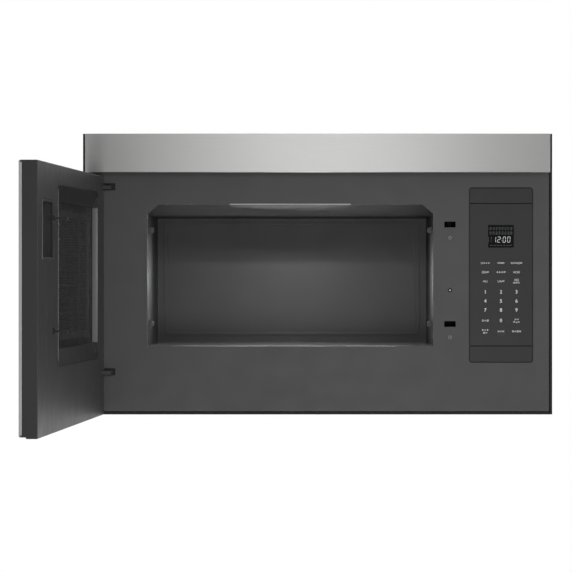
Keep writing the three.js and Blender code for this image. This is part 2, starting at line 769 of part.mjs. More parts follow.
function makeDoor() {
  const glassX0 = DOOR_X0 + GLASS.left;
  const glassX1 = DOOR_X1 - GLASS.right;
  const glassZ0 = DOOR_BOTTOM + GLASS.bottom;
  const glassZ1 = DOOR_TOP - GLASS.top;
  const skinZ0 = DOOR_BOTTOM + DOOR_STEP.rise;

  piece(
    "door_skin",
    cut(
      block(DOOR_X0, DOOR_X1, DOOR_OUT, DOOR_OUT + SKIN_EDGE, skinZ0, DOOR_TOP),
      block(
        DOOR_X0 + SKIN_T,
        DOOR_X1 - SKIN_T,
        DOOR_OUT + SKIN_T,
        DOOR_OUT + SKIN_EDGE + PIERCE,
        skinZ0 + SKIN_T,
        DOOR_TOP - SKIN_T,
      ),
      prism(
        roundedRect(glassX0, glassX1, glassZ0, glassZ1, GLASS.r),
        "y",
        DOOR_OUT - PIERCE,
        DOOR_OUT + SKIN_EDGE + PIERCE,
      ),
    ),
    "steel",
    leaf,
  );
  piece(
    "door_glass",
    prism(
      roundedRect(glassX0 + FIT, glassX1 - FIT, glassZ0 + FIT, glassZ1 - FIT, GLASS.r),
      "y",
      DOOR_OUT,
      DOOR_OUT + GLASS.t,
    ),
    "gloss",
    leaf,
  );

  // inner panel: end faces and inner face, hollow behind, solid where the hinge pins turn
  const front = DOOR_OUT + SKIN_EDGE + FIT;
  const { w, d } = HINGE_CHAMFER;
  let panel = prism(
    polygon([
      [DOOR_X0, front],
      [DOOR_X1, front],
      [DOOR_X1, DOOR_IN],
      [DOOR_X0 + w, DOOR_IN],
      [DOOR_X0, DOOR_IN - d],
    ]),
    "z",
    DOOR_BOTTOM,
    DOOR_TOP,
  );
  panel = cut(
    panel,
    block(
      DOOR_X0 - PIERCE,
      DOOR_X1 + PIERCE,
      front - PIERCE,
      front + DOOR_STEP.depth,
      DOOR_BOTTOM - PIERCE,
      DOOR_BOTTOM + DOOR_STEP.rise,
    ),
    block(
      PIVOT.x + HINGE_COLUMN,
      DOOR_X1 - DOOR_WALL,
      front - PIERCE,
      DOOR_IN - DOOR_WALL,
      DOOR_BOTTOM + DOOR_STEP.rise + DOOR_WALL,
      DOOR_TOP - DOOR_WALL,
    ),
    prism(tubOutline(TUB.wall + FIT), "y", front - PIERCE, DOOR_IN + PIERCE),
    prism(lensOutline(FIT), "y", front - PIERCE, DOOR_IN + PIERCE),
    ...HINGE_Z.map(hingePocket),
    ...LATCH_Z.map((z) =>
      block(
        LATCH_MID - HOOK.w / 2 - HOOK.play,
        LATCH_MID + HOOK.w / 2 + HOOK.play,
        DOOR_IN - 2 * DOOR_WALL,
        DOOR_IN + PIERCE,
        z + HOOK.rise - HOOK.play,
        z + HOOK.rise + HOOK.lip + HOOK.t + LATCH_TRAVEL + HOOK.play,
      ),
    ),
  );
  piece("door_inner_panel", panel, "enamel", leaf);

  // window tub, screen and film
  const floor = DOOR_IN - TUB.depth;
  const filmOut = (grow) =>
    roundedRect(
      TUB_X0 + FILM.side + grow,
      TUB_X1 - FILM.side - grow,
      TUB.z0 + FILM.end + grow,
      TUB.z1 - FILM.end - grow,
      WINDOW.r,
    );
  const windowOut = (grow) =>
    roundedRect(
      TUB_X0 + FILM.side + WINDOW.side - grow,
      TUB_X1 - FILM.side - WINDOW.side + grow,
      TUB.z0 + FILM.end + WINDOW.end - grow,
      TUB.z1 - FILM.end - WINDOW.end + grow,
      WINDOW.r,
    );
  piece(
    "window_tub",
    cut(
      tubSpace(TUB.wall, floor - TUB.wall, DOOR_IN),
      tubSpace(0, floor, DOOR_IN + PIERCE),
      prism(windowOut(0), "y", floor - 2 * TUB.wall, floor + PIERCE),
    ),
    "gloss",
    leaf,
  );
  const screenY = floor - TUB.wall - FIT;
  piece(
    "window_screen",
    prism(windowOut(SCREEN.lap), "y", screenY - SCREEN.t, screenY),
    "black",
    leaf,
  );
  piece("window_film", prism(filmOut(FIT), "y", floor + FIT, floor + FIT + FILM.t), "glass", leaf);

  piece(
    "display_bezel",
    cut(
      prism(lensOutline(0), "y", DOOR_IN - LENS.depth, DOOR_IN),
      prism(lensOutline(-LENS.frame), "y", DOOR_IN - LENS.depth - PIERCE, DOOR_IN + PIERCE),
    ),
    "black",
    leaf,
  );
  piece(
    "display_lens",
    prism(
      lensOutline(-LENS.frame - FIT),
      "y",
      DOOR_IN - LENS.recess - LENS.t,
      DOOR_IN - LENS.recess,
    ),
    "gloss",
    leaf,
  );

  // latch bar with its two hooks
  const barY1 = DOOR_IN - DOOR_WALL - FIT;
  const barX = [LATCH_MID - HOOK.w / 2, LATCH_MID + HOOK.w / 2];
  const hooks = LATCH_Z.map((z) => {
    const top = z + HOOK.rise + HOOK.lip;
    const tip = DOOR_IN + HOOK.reach;
    return join(
      block(...barX, barY1 - HOOK.bar, tip, top, top + HOOK.t),
      block(...barX, tip - HOOK.lipL, tip, top - HOOK.lip, top + HOOK.t),
    );
  });
  piece(
    "latch_bar",
    join(
      block(...barX, barY1 - HOOK.bar, barY1, LATCH_Z[0] - HOOK.over, LATCH_Z[1] + HOOK.over),
      ...hooks,
    ),
    "black",
    leaf,
  );
}

function tubOutline(grow) {
  return roundedRect(
    TUB_X0 - grow,
    TUB_X1 + grow,
    TUB.z0 - grow,
    TUB.z1 + grow,
    TUB.r + grow,
  );
}

// The tub's space, grown by a wall: upright at its floor, and sloped from there to its mouth.
function tubSpace(grow, from, to) {
  const sill = DOOR_IN - TUB.depth + FILM.t + 2 * FIT - grow;
  const mouth = DOOR_IN - grow;
  const section = (low, high, inset) => [
    [low + inset, from],
    [high - inset, from],
    [high - inset, sill],
    [high, mouth],
    [high, to],
    [low, to],
    [low, mouth],
    [low + inset, sill],
  ];
  const x = [TUB_X0 - grow, TUB_X1 + grow];
  const z = [TUB.z0 - grow, TUB.z1 + grow];
  const across = section(...x, FILM.side);
  const upright = section(...z, FILM.end).map(([height, depth]) => [depth, height]);
  return prism(tubOutline(grow), "y", from, to)
    .intersect(prism(polygon(across), "z", ...z))
    .intersect(prism(polygon(upright), "x", ...x));
}

function lensOutline(grow) {
  return roundedRect(
    LENS_X0 - grow,
    LENS_X1 + grow,
    LENS.z0 - grow,
    LENS.z1 + grow,
    LENS.r,
  );
}

// ---------------------------------------------------------------- latch side of the case

function makeLatch() {
  const x0 = LATCH_MID - BRACKET.w / 2;
  const x1 = LATCH_MID + BRACKET.w / 2;
  const z0 = LATCH_Z[0] - BRACKET.over;
  const z1 = LATCH_Z[1] + LATCH_SLOT.h + BRACKET.over;
  const backY = BRACKET.depth - BRACKET.wall;
  const { wall } = BRACKET;
  piece(
    "latch_bracket",
    join(
      block(x0, x0 + wall, LINER_FRONT, BRACKET.depth, z0, z1),
      block(x1 - wall, x1, LINER_FRONT, BRACKET.depth, z0, z1),
      block(x0, x1, backY, BRACKET.depth, z0, z1),
    ),
    "plastic",
  );

  const switchY1 = backY - FIT;
  const switchY0 = switchY1 - SWITCH.depth;
  const hookMid = HOOK.rise + HOOK.lip + HOOK.t / 2;
  for (const [name, z] of [
    ["primary_switch", LATCH_Z[1] + hookMid],
    ["secondary_switch", LATCH_Z[0] + hookMid],
  ]) {
    const half = SWITCH.h / 2;
    piece(
      name,
      join(
        block(
          LATCH_MID - SWITCH.w / 2,
          LATCH_MID + SWITCH.w / 2,
          switchY0,
          switchY1,
          z - half,
          z + half,
        ),
        block(
          LATCH_MID - SWITCH.plunger,
          LATCH_MID + SWITCH.plunger,
          switchY0 - SWITCH.plunger,
          switchY0 + PIERCE,
          z - SWITCH.plunger,
          z + SWITCH.plunger,
        ),
      ),
      "black",
    );
  }

  // sprung lever between the upper hook and the primary switch, on its own cross pin
  const pinZ = LATCH_Z[1] - LEVER.down;
  const pinY = LEVER.y + LEVER.t / 2;
  const topZ = LATCH_Z[1] + hookMid + LEVER.up;
  piece(
    "interlock_lever",
    join(
      block(
        LATCH_MID - LEVER.w / 2,
        LATCH_MID + LEVER.w / 2,
        LEVER.y,
        LEVER.y + LEVER.t,
        pinZ,
        topZ,
      ),
      rod("x", [pinY, pinZ], LEVER.boss, LATCH_MID - LEVER.w / 2, LATCH_MID + LEVER.w / 2),
      rod("x", [pinY, pinZ], LEVER.pin, x0 + wall + FIT, x1 - wall - FIT),
    ),
    "plastic",
  );

  // two plugs under the slots and a screw between them
  for (const [name, z] of [
    ["latch_plug_upper", LATCH_Z[1] - PLUG.drop + PLUG.shank],
    ["latch_plug_lower", LATCH_Z[0] - PLUG.drop + PLUG.shank],
  ]) {
    piece(
      name,
      join(
        rod("y", [LATCH_MID, z], PLUG.r, -FIT - PLUG.head, -FIT),
        rod("y", [LATCH_MID, z], PLUG.shank, -FIT - PLUG.head / 2, LINER_FRONT + PLUG.shank),
      ),
      "zinc",
    );
  }
  piece(
    "latch_screw",
    cut(
      join(
        rod("y", [LATCH_MID, SCREW_Z], SCREW.r, -FIT - SCREW.head, -FIT),
        rod("y", [LATCH_MID, SCREW_Z], PLUG.shank, -FIT - SCREW.head / 2, LINER_FRONT + SCREW.shank),
      ),
      block(
        LATCH_MID - SCREW.r / 2,
        LATCH_MID + SCREW.r / 2,
        -FIT - SCREW.head - PIERCE,
        -FIT - SCREW.head / 2,
        SCREW_Z - SCREW.slot / 2,
        SCREW_Z + SCREW.slot / 2,
      ),
      block(
        LATCH_MID - SCREW.slot / 2,
        LATCH_MID + SCREW.slot / 2,
        -FIT - SCREW.head - PIERCE,
        -FIT - SCREW.head / 2,
        SCREW_Z - SCREW.r / 2,
        SCREW_Z + SCREW.r / 2,
      ),
    ),
    "zinc",
  );
}

// ---------------------------------------------------------------- control panel

function makePanel() {
  const displayX0 = (PANEL_X0 + PANEL_X1 - DISPLAY.w) / 2;
  const displayX1 = displayX0 + DISPLAY.w;
  const displayZ0 = PANEL.z0 + DISPLAY.z0;
  const displayZ1 = displayZ0 + DISPLAY.h;
  const outline = roundedRect(PANEL_X0, PANEL_X1, PANEL.z0, PANEL.z1, PANEL.r);
  let plate = cut(
    prism(outline, "y", 0, FRONT_T),
    prism(
      roundedRect(displayX0, displayX1, displayZ0, displayZ1, DISPLAY.r),
      "y",
      -PIERCE,
      FRONT_T + PIERCE,
    ),
  );
  for (const rise of PANEL_SPLIT) {
    const z = PANEL.z0 + rise;
    plate = cut(
      plate,
      block(
        PANEL_X0 - PIERCE,
        PANEL_X1 + PIERCE,
        -PIERCE,
        LINE.depth,
        z - LINE.w / 2,
        z + LINE.w / 2,
      ),
    );
  }
  piece("control_panel", plate, "panel");
  piece(
    "display_glass",
    prism(
      roundedRect(
        displayX0 + FIT,
        displayX1 - FIT,
        displayZ0 + FIT,
        displayZ1 - FIT,
        DISPLAY.r - FIT,
      ),
      "y",
      DISPLAY.recess,
      FRONT_T,
    ),
    "gloss",
  );

  const reach = PANEL.groove + CARRIER.flange;
  const y0 = LINER_FRONT;
  const y1 = y0 + CARRIER.depth;
  const { wall } = CARRIER;
  const rim = PANEL.groove + wall;
  piece(
    "panel_carrier",
    cut(
      join(
        block(PANEL_X0 - reach, PANEL_X1 + reach, y0, y0 + wall, PANEL.z0 - reach, PANEL.z1 + reach),
        block(PANEL_X0 - rim, PANEL_X1 + rim, y0, y1, PANEL.z0 - rim, PANEL.z1 + rim),
      ),
      block(
        PANEL_X0 - rim + wall,
        PANEL_X1 + rim - wall,
        y0 + wall,
        y1 + PIERCE,
        PANEL.z0 - rim + wall,
        PANEL.z1 + rim - wall,
      ),
      block(displayX0, displayX1, y0 - PIERCE, y0 + wall + PIERCE, displayZ0, displayZ1),
    ),
    "black",
  );
  const boardY = y0 + wall + FIT;
  piece(
    "control_board",
    block(
      PANEL_X0 - rim + wall + FIT,
      PANEL_X1 + rim - wall - FIT,
      boardY,
      boardY + BOARD.t,
      PANEL.z0 + PANEL_SPLIT[0],
      displayZ1 + BOARD.above,
    ),
    "board",
  );
}

// ---------------------------------------------------------------- cooking parts

function makeCooking() {
  const guideY0 = SUMP_Y - GUIDE.w / 2;
  const guideY1 = SUMP_Y + GUIDE.w / 2;
  const guideX0 = CAVITY_MID - GUIDE.w / 2;
  const guideX1 = CAVITY_X1 + CAVITY_WALL + GUIDE.end;
  const magX0 = CAVITY_X1 + CAVITY_WALL + MAGNETRON.gap;
  const magX = magX0 + MAGNETRON.w / 2;
  const { wall } = GUIDE;
  piece(
    "waveguide",
    cut(
      block(guideX0, guideX1, guideY0, guideY1, GUIDE_Z0, GUIDE_Z1),
      block(
        guideX0 + wall,
        guideX1 - wall,
        guideY0 + wall,
        guideY1 - wall,
        GUIDE_Z0 + wall,
        GUIDE_Z1 - wall,
      ),
      rod("z", [CAVITY_MID, SUMP_Y], COUPLE_R, GUIDE_Z1 - 2 * wall, GUIDE_Z1 + PIERCE),
      rod(
        "z",
        [CAVITY_MID, SUMP_Y],
        ANTENNA_MOTOR.bore,
        GUIDE_Z0 - PIERCE,
        GUIDE_Z0 + 2 * wall,
        16,
      ),
      rod("z", [magX, SUMP_Y], MAGNETRON.stub + MAGNETRON.stubPlay, GUIDE_Z1 - 2 * wall, GUIDE_Z1 + PIERCE),
    ),
    "aluminium",
  );

  // rotating antenna: a slotted disc on a shaft that drops through the guide into its motor
  const discZ = SUMP_Z + ANTENNA.rise;
  const hubZ1 = discZ + ANTENNA.t + SHEET;
  const motorZ1 = GUIDE_Z0 - FIT;
  const holes = ring(ANTENNA.holes, (angle) =>
    rod(
      "z",
      [
        CAVITY_MID + ANTENNA.holeAt * Math.cos(angle),
        SUMP_Y + ANTENNA.holeAt * Math.sin(angle),
      ],
      ANTENNA.holeR,
      discZ - PIERCE,
      discZ + ANTENNA.t + PIERCE,
      16,
    ),
  );
  piece(
    "antenna",
    join(
      cut(rod("z", [CAVITY_MID, SUMP_Y], ANTENNA.r, discZ, discZ + ANTENNA.t, 36), ...holes),
      rod("z", [CAVITY_MID, SUMP_Y], ANTENNA.hub, hubZ1 - ANTENNA.hubH, hubZ1),
      rod("z", [CAVITY_MID, SUMP_Y], ANTENNA.shaft, motorZ1 - ANTENNA_MOTOR.seat, discZ, 16),
    ),
    "aluminium",
  );
  piece(
    "antenna_motor",
    cut(
      join(
        rod("z", [CAVITY_MID, SUMP_Y], ANTENNA_MOTOR.r, motorZ1 - ANTENNA_MOTOR.h, motorZ1),
        block(
          CAVITY_MID - ANTENNA_MOTOR.r - ANTENNA_MOTOR.tab,
          CAVITY_MID + ANTENNA_MOTOR.r + ANTENNA_MOTOR.tab,
          SUMP_Y - ANTENNA_MOTOR.tabW / 2,
          SUMP_Y + ANTENNA_MOTOR.tabW / 2,
          motorZ1 - SHEET,
          motorZ1,
        ),
      ),
      rod(
        "z",
        [CAVITY_MID, SUMP_Y],
        ANTENNA.shaft + FIT,
        motorZ1 - ANTENNA_MOTOR.seat - FIT,
        motorZ1 + PIERCE,
        16,
      ),
    ),
    "zinc",
  );

  const magZ0 = GUIDE_Z1 + FIT;
  const magZ1 = magZ0 + MAGNETRON.h;
  const magY0 = SUMP_Y - MAGNETRON.depth / 2;
  const magY1 = SUMP_Y + MAGNETRON.depth / 2;
  const magX1 = magX0 + MAGNETRON.w;
  const finPitch = (MAGNETRON.h - 2 * MAGNETRON.core) / (MAGNETRON.fins - 1);
  const fins = Array.from({ length: MAGNETRON.fins }, (unused, i) => {
    const z = magZ0 + MAGNETRON.core + finPitch * i - MAGNETRON.finT / 2;
    const { finIn, finT } = MAGNETRON;
    return block(magX0 + finIn, magX1 - finIn, magY0 + finIn, magY1 - finIn, z, z + finT);
  });
  piece(
    "magnetron",
    join(
      block(magX0, magX1, magY0, magY1, magZ0, magZ0 + MAGNETRON.plate),
      block(magX0, magX1, magY0, magY1, magZ1 - MAGNETRON.plate, magZ1),
      rod("z", [magX, SUMP_Y], MAGNETRON.core, magZ0 + PIERCE, magZ1 - PIERCE),
      rod("z", [magX, SUMP_Y], MAGNETRON.stub, GUIDE_Z0 + GUIDE.h / 3, magZ0 + PIERCE, 16),
      block(
        magX0,
        magX0 + MAGNETRON.bridge,
        magY0,
        magY1,
        magZ0 + PIERCE,
        magZ1 - PIERCE,
      ),
      ...fins,
    ),
    "aluminium",
  );

  const shelf = SHELF_Z + SHEET + FIT;
  const trX1 = SIDE_IN - TRANSFORMER.side;
  const trX0 = trX1 - TRANSFORMER.w;
  const trMid = (trX0 + trX1) / 2;
  const trY1 = TRANSFORMER.y + TRANSFORMER.depth;
  const coreHalf = TRANSFORMER.core / 2;
  const trZ = shelf + TRANSFORMER.h / 2;
  piece(
    "high_voltage_transformer",
    join(
      block(
        trMid - coreHalf,
        trMid + coreHalf,
        TRANSFORMER.y,
        trY1,
        shelf,
        shelf + TRANSFORMER.h,
      ),
      prism(
        roundedRect(
          TRANSFORMER.y + TRANSFORMER.coilIn,
          trY1 - TRANSFORMER.coilIn,
          trZ - TRANSFORMER.h / 3,
          trZ + TRANSFORMER.h / 3,
          TRANSFORMER.coilR,
        ),
        "x",
        trX0,
        trX1,
      ),
      block(trX0, trX1, TRANSFORMER.y + FOOT.side, trY1 - FOOT.side, shelf, shelf + FOOT.t),
    ),
    "copper",
  );

  const capX = SIDE_IN - CAPACITOR.side - CAPACITOR.r;
  piece(
    "high_voltage_capacitor",
    join(
      rod(
        "y",
        [capX, shelf + CAPACITOR.r],
        CAPACITOR.r,
        CAPACITOR.y,
        CAPACITOR.y + CAPACITOR.l,
      ),
      block(
        capX - CAPACITOR.r - FOOT.side,
        capX + CAPACITOR.r + FOOT.side,
        CAPACITOR.y + (CAPACITOR.l - CAPACITOR.strap) / 2,
        CAPACITOR.y + (CAPACITOR.l + CAPACITOR.strap) / 2,
        shelf,
        shelf + FOOT.t,
      ),
    ),
    "aluminium",
  );
}

function makeCoolingFan() {
  const x1 = SIDE_IN - FAN.side;
  const x0 = x1 - FAN.size;
  const xm = (x0 + x1) / 2;
  const zm = FAN.z + FAN.size / 2;
  const y1 = BACK_IN;
  const y0 = y1 - FAN.depth;
  const motorY0 = y1 - FAN_MOTOR.plate - FIT - FAN_MOTOR.l;
  const spokes = ring(FAN_MOTOR.spokes, (angle) => {
    const bar = block(
      -FAN_MOTOR.spokeW / 2,
      FAN_MOTOR.spokeW / 2,
      y1 - FAN_MOTOR.plate,
      y1,
      FAN_MOTOR.r,
      FAN.r + FAN_MOTOR.lap,
    );
    return bar.rotate([0, THREE.MathUtils.radToDeg(angle), 0]).translate([xm, 0, zm]);
  });
  piece(
    "cooling_fan_housing",
    join(
      cut(
        block(x0, x1, y0, y1, FAN.z, FAN.z + FAN.size),
        rod("y", [xm, zm], FAN.r, y0 - PIERCE, y1 + PIERCE, 36),
      ),
      rod("y", [xm, zm], FAN_MOTOR.r + FAN_MOTOR.lap, y1 - FAN_MOTOR.plate, y1),
      ...spokes,
    ),
    "black",
  );
  const motorY1 = y1 - FAN_MOTOR.plate - FIT;
  const shaftY1 = motorY1 - FAN_MOTOR.end;
  piece(
    "cooling_fan_motor",
    cut(
      rod("y", [xm, zm], FAN_MOTOR.r, motorY0, motorY1),
      rod("y", [xm, zm], FAN_MOTOR.shaft + FIT, motorY0 - PIERCE, shaftY1 + FIT, 16),
    ),
    "zinc",
  );
  const hubY1 = motorY0 - 2 * FIT;
  const hubY0 = y0 + FAN.hubIn;
  const blades = ring(FAN.blades, (angle) => {
    const half = FAN.bladeW / 2;
    const tip = FAN.r - FAN.tipGap;
    return block(-half, half, -FAN.bladeT / 2, FAN.bladeT / 2, FAN.hub - FAN_MOTOR.lap, tip)
      .rotate([0, 0, FAN.pitch])
      .rotate([0, THREE.MathUtils.radToDeg(angle), 0])
      .translate([xm, (hubY0 + hubY1) / 2, zm]);
  });
  piece(
    "cooling_fan_wheel",
    join(
      rod("y", [xm, zm], FAN.hub, hubY0, hubY1),
      rod("y", [xm, zm], FAN_MOTOR.shaft, (hubY0 + hubY1) / 2, shaftY1, 16),
      ...blades,
    ),
    "plastic",
  );
}

// ---------------------------------------------------------------- vent

function makeBlowers() {
  const axisY = BODY_DEPTH - HOUSING.y;
  const axisZ = TOP_IN - HOUSING.r - HOUSING.top;
  const motorX = VENT_MOTOR.w / 2;
  const shaftEnd = motorX + WHEEL_GAP + HOUSING.w - VENT_MOTOR.shaftIn;
  piece(
    "vent_motor",
    cut(
      join(
        rod("x", [axisY, axisZ], VENT_MOTOR.r, -motorX, motorX, 32),
        block(
          -VENT_MOTOR.foot,
          VENT_MOTOR.foot,
          axisY,
          BACK_IN,
          axisZ - VENT_MOTOR.foot / 2,
          axisZ + VENT_MOTOR.foot / 2,
        ),
      ),
      rod("x", [axisY, axisZ], VENT_MOTOR.shaft + FIT, -motorX - PIERCE, motorX + PIERCE, 16),
    ),
    "zinc",
  );

  for (const [name, side] of [
    ["left", -1],
    ["right", 1],
  ]) {
    const near = motorX + WHEEL_GAP;
    const far = near + HOUSING.w;
    const [x0, x1] = side > 0 ? [near, far] : [-far, -near];
    const { wall, r } = HOUSING;
    const scroll = (inset, grow) =>
      join(
        rod("x", [axisY, axisZ], r - inset, x0 + inset, x1 - inset, 36),
        block(x0 + inset, x1 - inset, axisY - r + inset, axisY - r / 4 - inset, axisZ, TOP_IN + grow),
      );
    piece(
      `blower_housing_${name}`,
      cut(
        join(
          scroll(0, 0),
          block(x0, x1, axisY, BACK_IN, axisZ - HOUSING.foot / 2, axisZ + HOUSING.foot / 2),
        ),
        scroll(wall, PIERCE),
        rod("x", [axisY, axisZ], HOUSING.inlet, x0 - PIERCE, x1 + PIERCE, 32),
      ),
      "zinc",
    );

    const wheelX0 = (x0 + x1 - WHEEL.w) / 2;
    const wheelX1 = wheelX0 + WHEEL.w;
    const bladeR = WHEEL.r - WHEEL.bladeDepth / 2 - FIT;
    const blades = ring(WHEEL.blades, (angle) => {
      const blade = block(
        wheelX0,
        wheelX1,
        -WHEEL.bladeT / 2,
        WHEEL.bladeT / 2,
        -WHEEL.bladeDepth / 2,
        WHEEL.bladeDepth / 2,
      );
      return blade
        .rotate([WHEEL.sweep, 0, 0])
        .translate([0, 0, bladeR])
        .rotate([THREE.MathUtils.radToDeg(angle), 0, 0])
        .translate([0, axisY, axisZ]);
    });
    const hoop = (from, to) =>
      cut(
        rod("x", [axisY, axisZ], WHEEL.r, from, to, 24),
        rod("x", [axisY, axisZ], WHEEL.r - WHEEL.bladeDepth, from - PIERCE, to + PIERCE, 24),
      );
    const disc = (wheelX0 + wheelX1) / 2;
    const wheel = join(
      rod("x", [axisY, axisZ], WHEEL.r - WHEEL.bladeT, disc - WHEEL.rim / 2, disc + WHEEL.rim / 2, 24),
      rod("x", [axisY, axisZ], WHEEL.hub, disc - WHEEL.hubL / 2, disc + WHEEL.hubL / 2),
      hoop(wheelX0, wheelX0 + WHEEL.rim),
      hoop(wheelX1 - WHEEL.rim, wheelX1),
      ...blades,
    );
    // the motor's through shaft is pressed into the left wheel and carries the right one
    const shaft =
      side < 0
        ? wheel.add(rod("x", [axisY, axisZ], VENT_MOTOR.shaft, disc, shaftEnd, 16))
        : wheel.subtract(
            rod("x", [axisY, axisZ], VENT_MOTOR.shaft + FIT, x0 - PIERCE, x1 + PIERCE, 16),
          );
    piece(`blower_wheel_${name}`, shaft, "black");
  }
}

function makeExhaust() {
  const y0 = BODY_DEPTH - DUCT.back - DUCT.depth;
  const y1 = y0 + DUCT.depth;
  const half = DUCT.w / 2;
  const z0 = CASE_H + FIT;
  const z1 = CASE_H + DUCT.collar;
  const { wall, flange } = DUCT;
  const flapZ = z0 + FLAP.stop + FIT;
  const pinY = y1 - wall - FLAP.play - FLAP.pin;
  piece(
    "exhaust_adaptor",
    cut(
      join(
        block(-half - flange, half + flange, y0 - flange, y1 + flange, z0, z0 + wall),
        block(-half, half, y0, y1, z0, z1),
      ),
      block(
        -half + wall + FLAP.stop,
        half - wall - FLAP.stop,
        y0 + wall + FLAP.stop,
        y1 - wall - FLAP.stop,
        z0 - PIERCE,
        z1 + PIERCE,
      ),
      block(-half + wall, half - wall, y0 + wall, y1 - wall, z0 + FLAP.stop, z1 + PIERCE),
      rod(
        "x",
        [pinY, flapZ + FLAP.pin],
        FLAP.pin + FIT,
        -half - PIERCE,
        half + PIERCE,
        16,
      ),
    ),
    "zinc",
  );
  piece(
    "exhaust_damper",
    join(
      block(
        -half + wall + FLAP.play,
        half - wall - FLAP.play,
        y0 + wall + FLAP.play,
        pinY,
        flapZ,
        flapZ + FLAP.t,
      ),
      rod("x", [pinY, flapZ + FLAP.pin], FLAP.pin, -half + FIT, half - FIT, 16),
    ),
    "aluminium",
  );
}

// ---------------------------------------------------------------- underside

function makeUnderside() {
  for (const [name, side] of [
    ["left", -1],
    ["right", 1],
  ]) {
    const x0 = side > 0 ? RIGHT - FILTER.side - FILTER.w : LEFT + FILTER.side;
    const x1 = x0 + FILTER.w;
    const y0 = FILTER.y - FILTER.catch;
    const y1 = y0 + FILTER.depth;
    const z0 = SHEET + FIT;
    const z1 = z0 + FILTER.t;
    const m = FILTER_FIELD.margin;
    const xm = (x0 + x1) / 2;
    piece(
      `grease_filter_${name}`,
      join(
        cut(
          block(x0, x1, y0, y1, z0, z1),
          block(x0 + m, x1 - m, y0 + m, y1 - m, z0 - PIERCE, z0 + FILTER_FIELD.recess),
          block(x0 + m, x1 - m, y0 + m, y1 - m, z1 - FILTER_FIELD.recess, z1 + PIERCE),
        ),
        block(
          xm - FILTER_PULL.w / 2,
          xm + FILTER_PULL.w / 2,
          FILTER.y + FILTER.catch,
          FILTER.y + FILTER.catch + FILTER_PULL.t,
          z0 - FILTER_PULL.h,
          z0 + FILTER_FIELD.recess,
        ),
      ),
      "aluminium",
    );

    const lampX0 = side * (RIGHT - LAMP.side) - LAMP.w / 2;
    const lampX1 = lampX0 + LAMP.w;
    const lampY1 = LAMP.y + LAMP.depth;
    piece(
      `cooktop_lamp_lens_${name}`,
      join(
        block(lampX0 + FIT, lampX1 - FIT, LAMP.y + FIT, lampY1 - FIT, 0, LAMP.lens),
        block(
          lampX0 - LAMP.lip,
          lampX1 + LAMP.lip,
          LAMP.y - LAMP.lip,
          lampY1 + LAMP.lip,
          SHEET + FIT,
          LAMP.lens + FIT,
        ),
      ),
      "diffuser",
    );
    piece(
      `cooktop_lamp_${name}`,
      block(
        lampX0 + LAMP.lip,
        lampX1 - LAMP.lip,
        LAMP.y + LAMP.lip,
        lampY1 - LAMP.lip,
        LAMP.lens + 2 * FIT,
        LAMP.lens + 2 * FIT + LAMP.h,
      ),
      "plastic",
    );
  }
}

// ---------------------------------------------------------------- the whole oven

makeCavity();
makeFrontPlate();
makeCase();
makeStrip();
makeHinge("hinge_arm_lower", HINGE_Z[0]);
makeHinge("hinge_arm_upper", HINGE_Z[1]);
makeDoor();
makeLatch();
makePanel();
makeCooking();
makeCoolingFan();
makeBlowers();
makeExhaust();
makeUnderside();

export default microwave;
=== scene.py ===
"""Looks of an over-the-range microwave with its door open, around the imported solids.

Everything is in metres in the solids' own frame: the back panel's middle is the origin, +X is
right, +Y goes into the wall and +Z is up. The door's pieces are built where the open door is.
"""
import json
import math

import bmesh
import bpy
from mathutils import Matrix, Vector


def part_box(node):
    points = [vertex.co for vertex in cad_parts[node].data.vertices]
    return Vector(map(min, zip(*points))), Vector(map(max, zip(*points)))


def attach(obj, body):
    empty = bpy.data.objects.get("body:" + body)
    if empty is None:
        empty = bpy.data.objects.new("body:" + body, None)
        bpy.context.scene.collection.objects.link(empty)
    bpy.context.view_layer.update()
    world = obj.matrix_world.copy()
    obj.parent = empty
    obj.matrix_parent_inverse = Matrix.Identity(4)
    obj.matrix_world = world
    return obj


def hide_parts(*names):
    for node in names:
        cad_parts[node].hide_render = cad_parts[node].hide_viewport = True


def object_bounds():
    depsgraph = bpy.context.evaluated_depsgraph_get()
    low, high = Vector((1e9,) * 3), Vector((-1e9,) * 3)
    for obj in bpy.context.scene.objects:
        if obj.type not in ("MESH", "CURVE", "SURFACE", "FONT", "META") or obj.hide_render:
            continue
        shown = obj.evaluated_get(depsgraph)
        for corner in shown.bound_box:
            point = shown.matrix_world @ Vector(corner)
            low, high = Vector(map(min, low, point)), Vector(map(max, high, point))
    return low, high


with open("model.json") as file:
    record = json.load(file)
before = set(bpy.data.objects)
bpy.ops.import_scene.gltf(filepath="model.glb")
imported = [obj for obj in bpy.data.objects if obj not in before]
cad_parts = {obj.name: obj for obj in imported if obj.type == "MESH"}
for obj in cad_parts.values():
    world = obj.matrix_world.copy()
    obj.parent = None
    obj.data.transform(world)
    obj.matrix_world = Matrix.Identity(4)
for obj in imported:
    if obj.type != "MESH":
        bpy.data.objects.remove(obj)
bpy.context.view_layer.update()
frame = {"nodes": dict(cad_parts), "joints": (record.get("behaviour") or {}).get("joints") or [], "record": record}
scene = bpy.context.scene

MM = 0.001
IMAGE = 572  # pixels, both ways
SENSOR = 36.0  # mm

# camera: straight on, at the middle of the case
FRONT_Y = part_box("front_plate")[0].y
CAMERA_BACK = 4.9  # from the front plate
FOCAL_PX = 3029
AXIS_PX = (317.6, 274.15)  # where the camera's axis meets the picture
CLIP_END = 200  # past the floor's rim

# the open door's own directions in the row frame
DOOR_TURN = math.radians(-93.1)
PIVOT = next(Vector(j["pos_m"]) for j in frame["joints"] if j["name"] == "door_swing")

SLOTS = {s["node"]: s["material_slot"] for s in frame["record"]["subparts"]}
BODIES = frame["record"]["behaviour"]["bodies"]
BODY_OF = {node: body for body, nodes in BODIES.items() for node in nodes}


